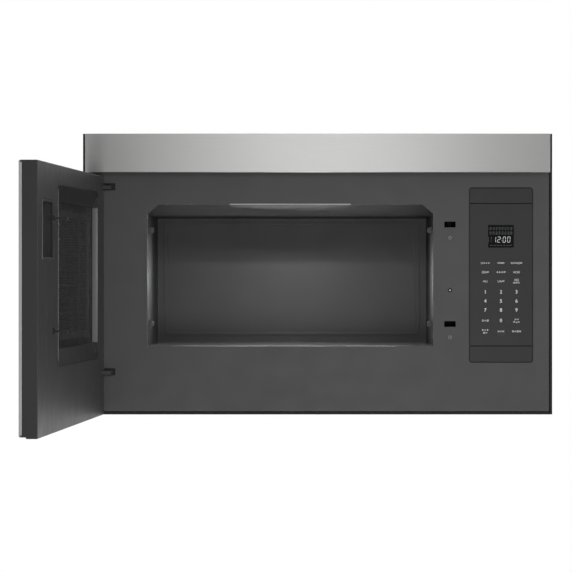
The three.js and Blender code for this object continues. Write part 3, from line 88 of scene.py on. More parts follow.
def make_camera():
    data = bpy.data.cameras.new("camera")
    data.sensor_width = SENSOR
    data.lens = FOCAL_PX / IMAGE * SENSOR
    data.shift_x = (IMAGE / 2 - AXIS_PX[0]) / IMAGE
    data.shift_y = (AXIS_PX[1] - IMAGE / 2) / IMAGE
    data.clip_end = CLIP_END
    camera = bpy.data.objects.new("camera", data)
    camera.location = (0, FRONT_Y - CAMERA_BACK, 0)
    camera.rotation_euler = (math.pi / 2, 0, 0)
    scene.collection.objects.link(camera)
    scene.camera = camera


# ------------------------------------------------------------------ materials


class Nodes:
    """A material's node tree with short calls for what the materials here share."""

    def __init__(self, name):
        self.material = bpy.data.materials.new(name)
        self.material.use_nodes = True
        self.tree = self.material.node_tree
        self.shader = self.tree.nodes["Principled BSDF"]

    def add(self, kind, **values):
        node = self.tree.nodes.new(kind)
        for key, value in values.items():
            setattr(node, key, value)
        return node

    def link(self, source, target):
        self.tree.links.new(source, target)

    def place(self, scale=(1, 1, 1), turn=0.0):
        """Object coordinates, turned about Z and stretched."""
        coords = self.add("ShaderNodeTexCoord")
        mapping = self.add("ShaderNodeMapping", vector_type="TEXTURE")
        mapping.inputs["Rotation"].default_value = (0, 0, turn)
        mapping.inputs["Scale"].default_value = tuple(1 / s for s in scale)
        self.link(coords.outputs["Object"], mapping.inputs["Vector"])
        return mapping.outputs["Vector"]

    def noise(self, size, detail=2.0, rough=0.5, vector=None):
        """Noise whose lumps are about size metres across."""
        node = self.add("ShaderNodeTexNoise")
        node.inputs["Scale"].default_value = 1 / size
        node.inputs["Detail"].default_value = detail
        node.inputs["Roughness"].default_value = rough
        self.link(vector or self.place(), node.inputs["Vector"])
        return node.outputs["Fac"]

    def ramp(self, value, low, high, out_low, out_high):
        node = self.add("ShaderNodeMapRange")
        for key, number in (
            ("From Min", low),
            ("From Max", high),
            ("To Min", out_low),
            ("To Max", out_high),
        ):
            node.inputs[key].default_value = number
        self.link(value, node.inputs["Value"])
        return node.outputs["Result"]

    def blend(self, share, first, second):
        """A colour between two, by a share."""
        node = self.add("ShaderNodeMix", data_type="RGBA")
        node.inputs["A"].default_value = (*first, 1)
        node.inputs["B"].default_value = (*second, 1)
        self.link(share, node.inputs["Factor"])
        return node.outputs["Result"]

    def math(self, kind, first, second):
        node = self.add("ShaderNodeMath", operation=kind)
        for socket, value in zip(node.inputs, (first, second)):
            if isinstance(value, (int, float)):
                socket.default_value = value
            else:
                self.link(value, socket)
        return node.outputs["Value"]

    def bump(self, height, depth):
        node = self.add("ShaderNodeBump")
        node.inputs["Distance"].default_value = depth
        self.link(height, node.inputs["Height"])
        self.link(node.outputs["Normal"], self.shader.inputs["Normal"])

    def set(self, **values):
        for key, value in values.items():
            self.shader.inputs[key.replace("_", " ")].default_value = value


BROAD = 0.11  # metres across the lumps of a paint's unevenness
SMUDGE = 0.035  # and across the patches where it is worn smooth


def shade(color, factor):
    return tuple(c * factor for c in color)


def painted(
    name, color, roughness, grain=0.0006, depth=0.00002, spread=0.12, specular=0.5, wear=0.07
):
    """Paint, enamel or moulded plastic: a fine grain with a broad, faint unevenness.

    grain and depth are the bumps' size; spread and wear are how far the colour and the
    roughness vary, as shares.
    """
    n = Nodes(name)
    broad = n.ramp(n.noise(BROAD, 3.0), 0.3, 0.7, 0, 1)
    color = n.blend(broad, shade(color, 1 - spread), shade(color, 1 + spread))
    n.link(color, n.shader.inputs["Base Color"])
    smudge = n.noise(SMUDGE, 4.0, 0.6)
    gloss = n.ramp(smudge, 0.3, 0.7, roughness * (1 - wear), roughness * (1 + wear))
    n.link(gloss, n.shader.inputs["Roughness"])
    n.set(Specular_IOR_Level=specular)
    n.bump(n.noise(grain, 2.0), depth)
    return n.material


def metal(name, color, roughness, grain=0.004, depth=0.00002, spread=0.1):
    """Plain, plated or cast metal with cloudy patches."""
    n = Nodes(name)
    cloud = n.noise(grain * 5, 4.0, 0.6)
    patches = n.ramp(cloud, 0.35, 0.65, 0, 1)
    n.link(n.blend(patches, shade(color, 1 - spread), color), n.shader.inputs["Base Color"])
    gloss = n.ramp(cloud, 0.3, 0.7, roughness * 0.85, roughness * 1.15)
    n.link(gloss, n.shader.inputs["Roughness"])
    n.set(Metallic=1.0)
    n.bump(n.noise(grain, 3.0), depth)
    return n.material


def brushed(name, color, roughness, turn=0.0, depth=0.000003):
    """Steel brushed along X, or along the open door; its highlights spread up and down."""
    n = Nodes(name)
    lines = n.noise(0.001, 2.0, 0.6, n.place((0.02, 2.2, 2.2), turn))
    fine = n.noise(0.001, 1.0, 0.5, n.place((0.06, 5.0, 5.0), turn))
    both = n.math("ADD", n.math("MULTIPLY", lines, 0.5), n.math("MULTIPLY", fine, 0.5))
    streaks = n.ramp(both, 0.36, 0.64, 0, 1)
    n.link(n.blend(streaks, shade(color, 0.9), color), n.shader.inputs["Base Color"])
    gloss = n.ramp(both, 0.35, 0.65, roughness * 0.92, roughness * 1.08)
    n.link(gloss, n.shader.inputs["Roughness"])
    n.set(Metallic=1.0, Anisotropic=1.0, Anisotropic_Rotation=0.25)
    n.bump(both, depth)
    return n.material


def glossy(name, color, roughness):
    """Glass or polished plastic that shows no depth, with faint wipe marks."""
    n = Nodes(name)
    wipe = n.noise(0.02, 5.0, 0.6, n.place((0.4, 0.4, 1.2)))
    n.link(n.ramp(wipe, 0.35, 0.7, roughness, roughness * 1.8), n.shader.inputs["Roughness"])
    dust = n.noise(0.003, 4.0, 0.6)
    pale = tuple(c * 1.5 + 0.001 for c in color)
    n.link(n.blend(n.ramp(dust, 0.4, 0.75, 0, 1), color, pale), n.shader.inputs["Base Color"])
    return n.material


def see_through(name, color, roughness, alpha, specular=0.5):
    """A thin smoked or frosted sheet."""
    n = Nodes(name)
    wipe = n.noise(0.018, 4.0, 0.6)
    n.link(n.ramp(wipe, 0.35, 0.7, roughness, roughness * 1.5 + 0.02), n.shader.inputs["Roughness"])
    tint = n.noise(0.05, 2.0)
    n.link(n.blend(tint, shade(color, 0.85), color), n.shader.inputs["Base Color"])
    n.set(Alpha=alpha, IOR=1.5, Specular_IOR_Level=specular)
    return n.material


def laminated(name):
    """Transformer: stacked laminations round a varnished copper coil."""
    n = Nodes(name)
    sheets = n.noise(0.0004, 1.0, 0.5, n.place((1, 0.02, 0.02)))
    cloud = n.noise(0.02, 3.0)
    mixed = n.math("ADD", n.math("MULTIPLY", sheets, 0.6), n.math("MULTIPLY", cloud, 0.4))
    color = n.blend(n.ramp(mixed, 0.35, 0.65, 0, 1), (0.07, 0.045, 0.03), (0.33, 0.14, 0.07))
    n.link(color, n.shader.inputs["Base Color"])
    n.set(Metallic=0.5, Roughness=0.45)
    n.bump(sheets, 0.0002)
    return n.material


def granules(name):
    """Charcoal behind a net."""
    n = Nodes(name)
    cells = n.add("ShaderNodeTexVoronoi")
    cells.inputs["Scale"].default_value = 350
    n.link(n.place(), cells.inputs["Vector"])
    color = n.blend(cells.outputs["Distance"], (0.035, 0.035, 0.037), (0.006, 0.006, 0.006))
    n.link(color, n.shader.inputs["Base Color"])
    n.set(Roughness=0.9)
    n.bump(cells.outputs["Distance"], -0.0012)
    return n.material


def circuit(name):
    """A printed board: mask green with paler copper tracks under it."""
    n = Nodes(name)
    bricks = n.add("ShaderNodeTexBrick")
    bricks.inputs["Scale"].default_value = 60
    bricks.inputs["Mortar Size"].default_value = 0.06
    turned = n.add("ShaderNodeMapping")
    turned.inputs["Rotation"].default_value = (math.pi / 2, 0, 0)
    n.link(n.place(), turned.inputs["Vector"])
    n.link(turned.outputs["Vector"], bricks.inputs["Vector"])
    color = n.blend(bricks.outputs["Fac"], (0.012, 0.07, 0.03), (0.03, 0.16, 0.07))
    n.link(color, n.shader.inputs["Base Color"])
    n.set(Roughness=0.45)
    n.bump(bricks.outputs["Fac"], 0.00005)
    return n.material


def glowing(name, color, strength, dim):
    """Display segments and the lamp's lens: even light with a slightly dimmer grain."""
    n = Nodes(name)
    grain = n.noise(0.0007, 1.0)
    tone = n.blend(n.ramp(grain, 0.3, 0.7, 0, 1), shade(color, dim), color)
    n.link(tone, n.shader.inputs["Base Color"])
    n.link(tone, n.shader.inputs["Emission Color"])
    n.set(Emission_Strength=strength, Roughness=0.5)
    return n.material


def grey(value, blue=0.0):
    """A neutral colour from a linear value, with a touch of blue."""
    return (value, value, value * (1 + blue))


STEEL = (0.53, 0.529, 0.525)
FINISHES = {
    "steel": lambda: brushed("steel", STEEL, 0.5),
    "door_steel": lambda: brushed("door_steel", STEEL, 0.52, DOOR_TURN),
    "galvanised": lambda: metal(
        "galvanised", (0.5, 0.51, 0.53), 0.38, grain=0.004, spread=0.13
    ),
    "zinc": lambda: metal("zinc", (0.62, 0.62, 0.64), 0.28, grain=0.002),
    "aluminium": lambda: metal("aluminium", (0.66, 0.66, 0.67), 0.34, grain=0.003),
    "filter_mesh": lambda: metal("filter_mesh", (0.6, 0.6, 0.61), 0.36, grain=0.002),
    "enamel": lambda: painted(
        "enamel", grey(0.037, 0.02), 0.5, depth=0.000008, spread=0.04, specular=0.5
    ),
    "cavity_enamel": lambda: painted(
        "cavity_enamel", grey(0.03, 0.02), 0.45, spread=0.06, specular=0.4
    ),
    "door_enamel": lambda: painted(
        "door_enamel", grey(0.024, 0.02), 0.4, depth=0.000003, spread=0.04, specular=0.22
    ),
    "tub_enamel": lambda: painted(
        "tub_enamel", grey(0.01), 0.35, depth=0.000003, spread=0.04, specular=0.15
    ),
    "ceramic": lambda: painted("ceramic", grey(0.12, 0.03), 0.2, grain=0.002, spread=0.08),
    "case_black": lambda: painted(
        "case_black", grey(0.007), 0.6, grain=0.0009, depth=0.00003, spread=0.03, specular=0.3,
        wear=0.015,
    ),
    "plug": lambda: painted("plug", grey(0.13), 0.5),
    "black_plastic": lambda: painted(
        "black_plastic", grey(0.006), 0.45, grain=0.0008, depth=0.00003, specular=0.3
    ),
    "plastic": lambda: painted("plastic", (0.55, 0.53, 0.48), 0.45, grain=0.0012, depth=0.00003),
    "panel": lambda: painted(
        "panel", grey(0.02, 0.02), 0.42, grain=0.0005, depth=0.000005, spread=0.04, specular=0.25
    ),
    "black_glass": lambda: glossy("black_glass", grey(0.004), 0.04),
    "film": lambda: see_through("film", grey(0.02), 0.2, 0.3, 0.1),
    "diffuser": lambda: see_through("diffuser", (0.8, 0.8, 0.78), 0.4, 0.75),
    "screen": lambda: painted("screen", grey(0.045), 0.5, spread=0.1, specular=0.15),
    "board": lambda: circuit("board"),
    "transformer": lambda: laminated("transformer"),
    "carbon": lambda: granules("carbon"),
    "print": lambda: painted("print", grey(0.75), 0.5, spread=0.05),
    "faint_print": lambda: painted("faint_print", grey(0.06), 0.5, spread=0.06),
    "lit": lambda: glowing("lit", (0.55, 0.58, 0.58), 0.45, 0.9),
    "unlit": lambda: painted("unlit", grey(0.05), 0.3, spread=0.1),
    "lamp_lens": lambda: glowing("lamp_lens", (0.4, 0.39, 0.37), 0.3, 0.92),
    "door_lens": lambda: painted("door_lens", grey(0.01), 0.4, depth=0.000002, specular=0.02),
    # near-black: the grooves' own black inlay, and painted shade on parts that sit in the dark
    "inlay": lambda: painted("inlay", grey(0.003), 0.6, specular=0.1),
    # paler than the tub: painted light on the recess's lit far wall
    "end_highlight": lambda: painted("end_highlight", grey(0.06, 0.02), 0.35, spread=0.06),
    "latch": lambda: painted("latch", grey(0.03), 0.5, grain=0.0008, specular=0.1),
    # paler than the door's enamel: a painted highlight on the rims by the window and the lens
    "lip": lambda: painted("lip", grey(0.045), 0.35, grain=0.0008, depth=0.000004),
    # pale matte grey for the skin's steel edge: a painted highlight
    "edge_highlight": lambda: painted(
        "edge_highlight", grey(0.34), 0.4, grain=0.0008, depth=0.000003, spread=0.04
    ),
}
made = {}


def finish(name):
    if name not in made:
        made[name] = FINISHES[name]()
    return made[name]


# ------------------------------------------------------------------ pieces

SHARP = math.radians(28)  # an edge turned by more than this is broken by a bevel
WIDEST = 0.01  # a bevel weight of 1
HAIR, CRISP, EASED, ROUNDED = 0.0002, 0.0003, 0.0006, 0.0008  # how wide edges are broken
WELD = 2e-6  # corners closer than this are one


def show(name, mesh, surface, body, slot=None):
    """A mesh as a piece that rides on a body."""
    piece = bpy.data.objects.new(name, mesh)
    scene.collection.objects.link(piece)
    piece.data.materials.clear()
    piece.data.materials.append(finish(surface))
    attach(piece, body)
    return piece


def as_mesh(bm, name, smooth=False):
    """Closes a bmesh into a mesh."""
    for face in bm.faces:
        face.smooth = smooth
    mesh = bpy.data.meshes.new(name)
    bm.to_mesh(mesh)
    bm.free()
    return mesh


def soften(piece, segments):
    bevel = piece.modifiers.new("edges", "BEVEL")
    bevel.limit_method = "WEIGHT"
    bevel.width = WIDEST
    bevel.segments = segments
    bevel.use_clamp_overlap = False
    bevel.miter_outer = "MITER_ARC"
    normals = piece.modifiers.new("normals", "WEIGHTED_NORMAL")
    normals.weight = 80


def dress(node, soft=0.0004, rounds=(), segments=2, surface=None, merge=True, whole=None):
    """Stands a CAD node's shape in for it, with broken edges and its material.

    rounds holds (chooser, width) pairs for edges that are rounded wider than the rest; a
    chooser gets an edge's middle. surface names a finish where it isn't the node's own.
    merge joins the triangles of a flat face; the faces that whole picks by their normal
    stay in one piece, and the rest are split until they are convex.
    """
    bm = bmesh.new()
    bm.from_mesh(frame["nodes"][node].data)
    bmesh.ops.remove_doubles(bm, verts=bm.verts, dist=WELD)
    if merge:
        bmesh.ops.dissolve_limit(
            bm,
            angle_limit=math.radians(0.5),
            verts=bm.verts,
            edges=bm.edges,
            use_dissolve_boundaries=False,
        )
        split = [f for f in bm.faces if not (whole and whole(f.normal))]
        bmesh.ops.connect_verts_concave(bm, faces=split)
    weights = bm.edges.layers.float.new("bevel_weight_edge")
    for edge in bm.edges:
        if len(edge.link_faces) != 2 or edge.calc_face_angle(0) < SHARP:
            continue
        middle = (edge.verts[0].co + edge.verts[1].co) / 2
        width = soft
        for chooser, wide in rounds:
            if chooser(middle):
                width = wide
        edge[weights] = width / WIDEST
    mesh = as_mesh(bm, node, smooth=True)
    slot = surface if surface in SLOTS.values() else SLOTS[node]
    piece = show("dressed_" + node, mesh, surface or slot, BODY_OF[node], slot)
    soften(piece, segments)
    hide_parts(node)


def on_door(x, y, z):
    """A point given on the shut door, in metres, taken to where the open door is."""
    turned = Matrix.Rotation(DOOR_TURN, 3, "Z") @ Vector((x - PIVOT.x, y - PIVOT.y, 0))
    return Vector((turned.x + PIVOT.x, turned.y + PIVOT.y, z))


def off_door(point):
    """A point on the open door taken back to where it is on the shut door."""
    flat = Vector((point.x - PIVOT.x, point.y - PIVOT.y, 0))
    turned = Matrix.Rotation(-DOOR_TURN, 3, "Z") @ flat
    return Vector((turned.x + PIVOT.x, turned.y + PIVOT.y, point.z))


def off_door_box(node):
    """A door node's box on the shut door."""
    points = [off_door(v.co) for v in frame["nodes"][node].data.vertices]
    low = Vector([min(p[i] for p in points) for i in range(3)])
    high = Vector([max(p[i] for p in points) for i in range(3)])
    return low, high


# ------------------------------------------------------------------ screws

SCREW = 0.0035  # radius of a screw's washer
SCREW_SIDES = 24
# a head's outline from the face outwards: radii and heights as shares of the washer's radius
WASHER = ((1.0, 0.0), (1.0, 0.14), (0.9, 0.22), (0.62, 0.26))
HEXAGON = ((0.58, 0.26), (0.58, 0.66), (0.5, 0.76))
PLAIN, LOW, FLAT = 0.6, 0.3, 0.1  # how tall a head is, as a share of that outline

SCREW_INSET = 0.012  # from the case's back edge
SCREW_CORNER = 0.03  # from its upper and lower edges
TOP_SCREWS = (-0.33, -0.11, 0.2, 0.34)  # x
BASE_SCREWS = (  # x, y
    (-0.36, -0.375),
    (0.36, -0.375),
    (-0.05, -0.03),
    (0.05, -0.03),
    (-0.36, -0.03),
    (0.36, -0.03),
    (0, -0.375),
)
BACK_SCREWS = (  # x, z
    (-0.36, 0.2),
    (0.36, 0.2),
    (0, 0.212),
    (-0.36, 0),
    (0.36, 0),
    (-0.36, -0.2),
    (0.36, -0.2),
    (0, -0.212),
)


def corner_reach(angle):
    """How far a hexagon whose flats are 1 from its middle reaches at an angle."""
    return 1 / math.cos((angle + math.pi / 6) % (math.pi / 3) - math.pi / 6)


def screw(name, place, axis, rise=PLAIN):
    """A hex washer head on a face; axis points out of the face."""
    bm = bmesh.new()
    loops = []
    for outline, reach in ((WASHER, lambda angle: 1), (HEXAGON, corner_reach)):
        for r, h in outline:
            loop = []
            for k in range(SCREW_SIDES):
                a = math.tau * k / SCREW_SIDES
                out = r * SCREW * reach(a)
                point = (out * math.cos(a), out * math.sin(a), h * SCREW * rise)
                loop.append(bm.verts.new(point))
            loops.append(loop)
    for lower, upper in zip(loops, loops[1:]):
        for k in range(SCREW_SIDES):
            j = (k + 1) % SCREW_SIDES
            bm.faces.new((lower[k], lower[j], upper[j], upper[k]))
    bm.faces.new(loops[0][::-1])
    bm.faces.new(loops[-1])
    turn = Vector(axis).to_track_quat("Z", "Y").to_matrix().to_4x4()
    bmesh.ops.transform(bm, matrix=Matrix.Translation(place) @ turn, verts=bm.verts)
    bmesh.ops.recalc_face_normals(bm, faces=bm.faces)
    piece = show(name, as_mesh(bm, name, smooth=True), "zinc", "cabinet", "zinc")
    piece.modifiers.new("normals", "WEIGHTED_NORMAL")


def make_screws():
    """Sheet-metal screws where the case, the back, the base and the adaptor are held."""
    low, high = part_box("outer_case")
    back_y = high.y - SCREW_INSET
    levels = (("low", low.z + SCREW_CORNER), ("mid", 0.0), ("high", high.z - SCREW_CORNER))
    for side, x in (("left", low.x), ("right", high.x)):
        for level, z in levels:
            screw(f"screw_{side}_{level}", (x, back_y, z), (x, 0, 0))
    for k, x in enumerate(TOP_SCREWS):
        screw(f"screw_top_{k}", (x, back_y, high.z), (0, 0, 1))
    base_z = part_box("base_panel")[0].z
    for k, (x, y) in enumerate(BASE_SCREWS):
        screw(f"screw_base_{k}", (x, y, base_z), (0, 0, -1), LOW)
    # sunk and nearly flat, so that the oven still lies against its wall
    back_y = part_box("back_panel")[1].y - 0.2 * MM
    for k, (x, z) in enumerate(BACK_SCREWS):
        screw(f"screw_back_{k}", (x, back_y, z), (0, 1, 0), FLAT)
    low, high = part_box("exhaust_adaptor")
    inset, flange = 0.006, 0.001
    for k, x in enumerate((low.x + inset, high.x - inset)):
        screw(f"screw_adaptor_{k}", (x, (low.y + high.y) / 2, low.z + flange), (0, 0, 1))


# ------------------------------------------------------------------ grease filters

MESH_PITCH = (0.0085, 0.0042)  # one diamond, along X and along Y
MESH_WIRE = 0.0012
MESH_SHEET = 0.0006
FILTER_BORDER = 0.0085  # the plain frame round the lattice


def make_filter_mesh(side):
    """Expanded aluminium: a lattice of diamonds over the filter's field."""
    low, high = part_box("grease_filter_" + side)
    width, depth = high.x - low.x - 2 * FILTER_BORDER, high.y - low.y - 2 * FILTER_BORDER
    columns, rows = int(width / MESH_PITCH[0]), int(depth / MESH_PITCH[1])
    dx, dy = width / columns, depth / rows
    share = 1 - MESH_WIRE / dy  # the opening's part of a diamond
    bm = bmesh.new()
    for row in range(rows):
        for column in range(columns):
            x = low.x + FILTER_BORDER + (column + 0.5) * dx
            y = low.y + FILTER_BORDER + (row + 0.5) * dy
            right, left, far, near = x + dx / 2, x - dx / 2, y + dy / 2, y - dy / 2
            corners = [(right, far), (left, far), (left, near), (right, near)]
            mids = [(x, far), (left, y), (x, near), (right, y)]
            inner = [(x + (a - x) * share, y + (b - y) * share) for a, b in mids]
            for k in range(4):
                outline = (corners[k], mids[k], inner[k], inner[k - 1], mids[k - 1])
                bm.faces.new([bm.verts.new((*at, low.z)) for at in outline])
    bmesh.ops.remove_doubles(bm, verts=bm.verts, dist=WELD / 2)
    bmesh.ops.recalc_face_normals(bm, faces=bm.faces)
    mesh = as_mesh(bm, "filter_mesh")
    piece = show("filter_mesh_" + side, mesh, "filter_mesh", "filter_" + side, "filter_mesh")
    sheet = piece.modifiers.new("sheet", "SOLIDIFY")
    sheet.thickness = MESH_SHEET
    sheet.offset = 0


# ------------------------------------------------------------------ cabinet and door


def dress_cabinet():
    liner_lo, liner_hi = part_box("cavity_liner")
    near, touching = 0.004, 0.0003

    def mouth_edge(mid):
        """The front plate's edge round the cavity's mouth, on its face."""
        return (
            abs(mid.y - FRONT_Y) < touching
            and liner_lo.x - near < mid.x < liner_hi.x + near
            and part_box("cavity_floor_plate")[0].z < mid.z < liner_hi.z + near
        )

    def faces_front(normal):
        return normal.y < -0.9

    dress("cavity_liner", CRISP, merge=False)
    dress("front_plate", CRISP, [(mouth_edge, ROUNDED)], segments=3, whole=faces_front)
    dress("outer_case", CRISP)
    dress("top_trim_strip", EASED, segments=3)
    dress("control_panel", HAIR)
    dress("display_glass", HAIR)
    dress("cavity_lamp", HAIR / 2, surface="lamp_lens")
    for node in (
        "cavity_floor_plate",
        "base_panel",
        "back_panel",
        "cord_gland",
        "vent_grille",
        "latch_plug_upper",
        "latch_plug_lower",
        "panel_carrier",
        "exhaust_adaptor",
        "exhaust_damper",
        "grease_filter_left",
        "grease_filter_right",
        "cooktop_lamp_lens_left",
        "cooktop_lamp_lens_right",
    ):
        dress(node, CRISP)
    for side in ("left", "right"):
        for level in ("upper", "lower"):
            dress(f"rack_support_{side}_{level}", ROUNDED, surface="cavity_enamel")
    # near-black: the arms' own dark paint, and painted shade on their flanges behind the plate's slots
    for node in ("hinge_arm_lower", "hinge_arm_upper"):
        dress(node, CRISP, surface="case_black")
    # painted near-black as shade: they sit in the dark behind the latch slots
    for node in ("latch_bracket", "interlock_lever", "primary_switch", "secondary_switch"):
        dress(node, CRISP, surface="inlay")
    # the latch screw too is painted near-black as shade
    dress("latch_screw", surface="inlay", segments=3)


def dress_door():
    skin_lo, _ = off_door_box("door_skin")
    glass_lo, glass_hi = off_door_box("door_glass")
    near, touching, fold = 0.002, 0.0002, 0.0021

    def outer_edge(mid):
        """The skin's edges where its face turns to its sides, but not round the glass."""
        mid = off_door(mid)
        in_glass_hole = (
            glass_lo.x - near < mid.x < glass_hi.x + near
            and glass_lo.z - near < mid.z < glass_hi.z + near
        )
        return abs(mid.y - skin_lo.y) < touching and not in_glass_hole

    dress("door_skin", CRISP, [(outer_edge, fold)], segments=3, surface="door_steel")
    dress("door_glass", EASED)
    dress("door_inner_panel", ROUNDED)
    dress("window_tub", EASED, surface="tub_enamel")
    dress("window_film", HAIR)
    dress("display_bezel")
    dress("display_lens", CRISP, surface="door_lens")
    dress("latch_bar", surface="latch")
    door_bars()


def block(name, low, high, surface, slot, place, soft):
    """A bar on the door with rounded edges between two corners, put where place takes it."""
    bm = bmesh.new()
    bmesh.ops.create_cube(bm, size=1)
    for vert in bm.verts:
        vert.co = [low[i] if vert.co[i] < 0 else high[i] for i in range(3)]
    edges = bm.verts[:] + bm.edges[:]
    bmesh.ops.bevel(bm, geom=edges, offset=soft, segments=3, profile=0.5, affect="EDGES")
    for vert in bm.verts:
        vert.co = place(vert.co)
    show(name, as_mesh(bm, name, smooth=True), surface, "door", slot)


def door_bars():
    """The lips by the window and the lens and the skin's hem, painted paler as highlights, and a painted highlight
    on the far wall at the window's end.

    All corners are on the shut door.
    """
    tub_lo, tub_hi = off_door_box("window_tub")
    film_lo, film_hi = off_door_box("window_film")
    bezel_lo, bezel_hi = off_door_box("display_bezel")
    skin_lo, skin_hi = off_door_box("door_skin")
    face = tub_hi.y  # the door's inner face
    root, crest = face - 0.5 * MM, face + 1.4 * MM  # of the lips
    corner = 8 * MM  # the window's rounded corners, which its lip leaves out
    flange, slope = 2 * MM, 0.72  # of the tub at the hinge side, from its edge inwards

    def put(point):
        return on_door(*point)

    def on_slope(point):
        """x is the height over the tub's slope."""
        return on_door(
            tub_lo.x + flange + slope * (face - point.y) + point.x, point.y, point.z
        )

    # the window's near rim, painted paler as the highlight it catches
    block(
        "window_lip",
        (tub_hi.x - 1.5 * MM, root, tub_lo.z + corner),
        (tub_hi.x + 0.6 * MM, crest, tub_hi.z - corner),
        "lip",
        "door_enamel",
        put,
        0.6 * MM,
    )
    # the steel skin's edge, painted pale as the highlight it catches
    block(
        "skin_edge",
        (skin_hi.x - 0.6 * MM, skin_lo.y + 0.3 * MM, skin_lo.z + 3 * MM),
        (skin_hi.x + 0.1 * MM, skin_hi.y + 2.1 * MM, skin_hi.z - 3 * MM),
        "edge_highlight",
        "steel",
        put,
        0.2 * MM,
    )
    # the lens's rim, painted paler as its highlight
    block(
        "lens_lip",
        (bezel_hi.x - 1.6 * MM, root, bezel_lo.z),
        (bezel_hi.x, crest, bezel_hi.z),
        "lip",
        "door_enamel",
        put,
        0.5 * MM,
    )
    # painted highlight: a pale strip on the tub's far wall at the hinge side, where it faces the light
    block(
        "window_end_strip",
        (0.2 * MM, film_hi.y + 0.3 * MM, film_lo.z + 1 * MM),
        (0.7 * MM, face - 0.6 * MM, film_hi.z - 1 * MM),
        "end_highlight",
        "door_enamel",
        on_slope,
        0.2 * MM,
    )


def finish_inner_nodes():
    """What only shows when the oven is taken apart keeps its solid and gets its material."""
    for node, item in frame["nodes"].items():
        if not item.hide_render:
            item.data.materials.clear()
            item.data.materials.append(finish(SLOTS[node]))


# ------------------------------------------------------------------ keypad and display

PRINT_T = 0.04 * MM  # thickness of printed marks


class Marks:
    """Flat marks on a plane that faces -Y, gathered into one closed mesh."""

    def __init__(self, face_y):
        self.bm = bmesh.new()
        self.y = face_y

    def polygon(self, points):
        """A filled outline of (x, z) points, as a thin plate."""
        near = [self.bm.verts.new((x, self.y - PRINT_T, z)) for x, z in points]
        far = [self.bm.verts.new((x, self.y, z)) for x, z in points]
        count = len(points)
        self.bm.faces.new(near)
        self.bm.faces.new(far[::-1])
        for i in range(count):
            j = (i + 1) % count
            self.bm.faces.new((near[j], near[i], far[i], far[j]))

    def line(self, points, width):
        """Strokes from point to point, each with square ends."""
        for (x0, z0), (x1, z1) in zip(points, points[1:]):
            length = math.hypot(x1 - x0, z1 - z0)
            ux, uz = (x1 - x0) / length * width / 2, (z1 - z0) / length * width / 2
            self.polygon(
                [
                    (x0 - ux + uz, z0 - uz - ux),
                    (x1 + ux + uz, z1 + uz - ux),
                    (x1 + ux - uz, z1 + uz + ux),
                    (x0 - ux - uz, z0 - uz + ux),
                ]
            )

    def arc(self, x, z, rx, rz, start, end, width, steps=16):
        """Part of an oval, in degrees, as a band of quads."""
        for i in range(steps):
            a = math.radians(start + (end - start) * i / steps)
            b = math.radians(start + (end - start) * (i + 1) / steps)
            inner, outer = -width / 2, width / 2
            self.polygon(
                [
                    (x + (rx + r) * math.cos(t), z + (rz + r) * math.sin(t))
                    for r, t in ((outer, a), (outer, b), (inner, b), (inner, a))
                ]
            )

    def disc(self, x, z, r, sides=16):
        turns = [math.tau * k / sides for k in range(sides)]
        self.polygon([(x + r * math.cos(a), z + r * math.sin(a)) for a in turns])

    def text(self, words, x, z, size, heavy):
        """Plain numbers, centred on a point; heavy widens their strokes."""
        curve = bpy.data.curves.new("number", "FONT")
        curve.body = words
        curve.size = size
        curve.align_x = "CENTER"
        curve.align_y = "CENTER"
        curve.extrude = PRINT_T / 2
        curve.offset = heavy
        curve.resolution_u = 4
        item = bpy.data.objects.new("number", curve)
        scene.collection.objects.link(item)
        item.rotation_euler = (math.pi / 2, 0, 0)
        item.location = (x, self.y - PRINT_T / 2, z)
        bpy.context.view_layer.update()
        mesh = bpy.data.meshes.new_from_object(item)
        mesh.transform(item.matrix_world)
        self.bm.from_mesh(mesh)
        bpy.data.objects.remove(item)
        bpy.data.meshes.remove(mesh)
        bpy.data.curves.remove(curve)

    def piece(self, name, surface, slot=None):
        bmesh.ops.remove_doubles(self.bm, verts=self.bm.verts, dist=WELD / 2)
        bmesh.ops.recalc_face_normals(self.bm, faces=self.bm.faces)
        show(name, as_mesh(self.bm, name), surface, "cabinet", slot)


STROKE = 0.00052
ICON = 0.00145  # half a pictogram's height
ICON_PITCH = 0.0038
LINE_PITCH = 0.0046  # from one line of pictograms to the next


def icon_cup(m, x, z):
    w = ICON
    m.line([(x - w, z + w), (x - w * 0.6, z - w), (x + w * 0.6, z - w), (x + w, z + w)], STROKE)


def icon_dot(m, x, z):
    m.arc(x, z, ICON * 0.6, ICON * 0.6, 0, 360, STROKE, 10)


def icon_oval(m, x, z):
    m.arc(x, z, ICON * 1.05, ICON * 0.7, 0, 360, STROKE, 14)


def icon_leaf(m, x, z):
    m.arc(x, z - ICON * 0.6, ICON * 1.3, ICON * 1.3, 25, 155, STROKE, 8)
    m.arc(x, z + ICON * 0.6, ICON * 1.3, ICON * 1.3, 205, 335, STROKE, 8)


def icon_pot(m, x, z):
    w = ICON
    m.line([(x - w, z + w * 0.4), (x - w, z - w), (x + w, z - w), (x + w, z + w * 0.4)], STROKE)
    m.line([(x - w * 0.6, z + w), (x + w * 0.6, z + w)], STROKE)


def icon_flake(m, x, z):
    for i in range(3):
        a = math.radians(30 + 60 * i)
        dx, dz = ICON * math.cos(a), ICON * math.sin(a)
        m.line([(x - dx, z - dz), (x + dx, z + dz)], STROKE * 0.8)


def icon_again(m, x, z):
    m.arc(x, z, ICON * 0.8, ICON * 0.8, 60, 360, STROKE, 10)
    m.polygon([(x + ICON * 0.4, z), (x + ICON * 1.2, z), (x + ICON * 0.8, z + ICON * 0.7)])


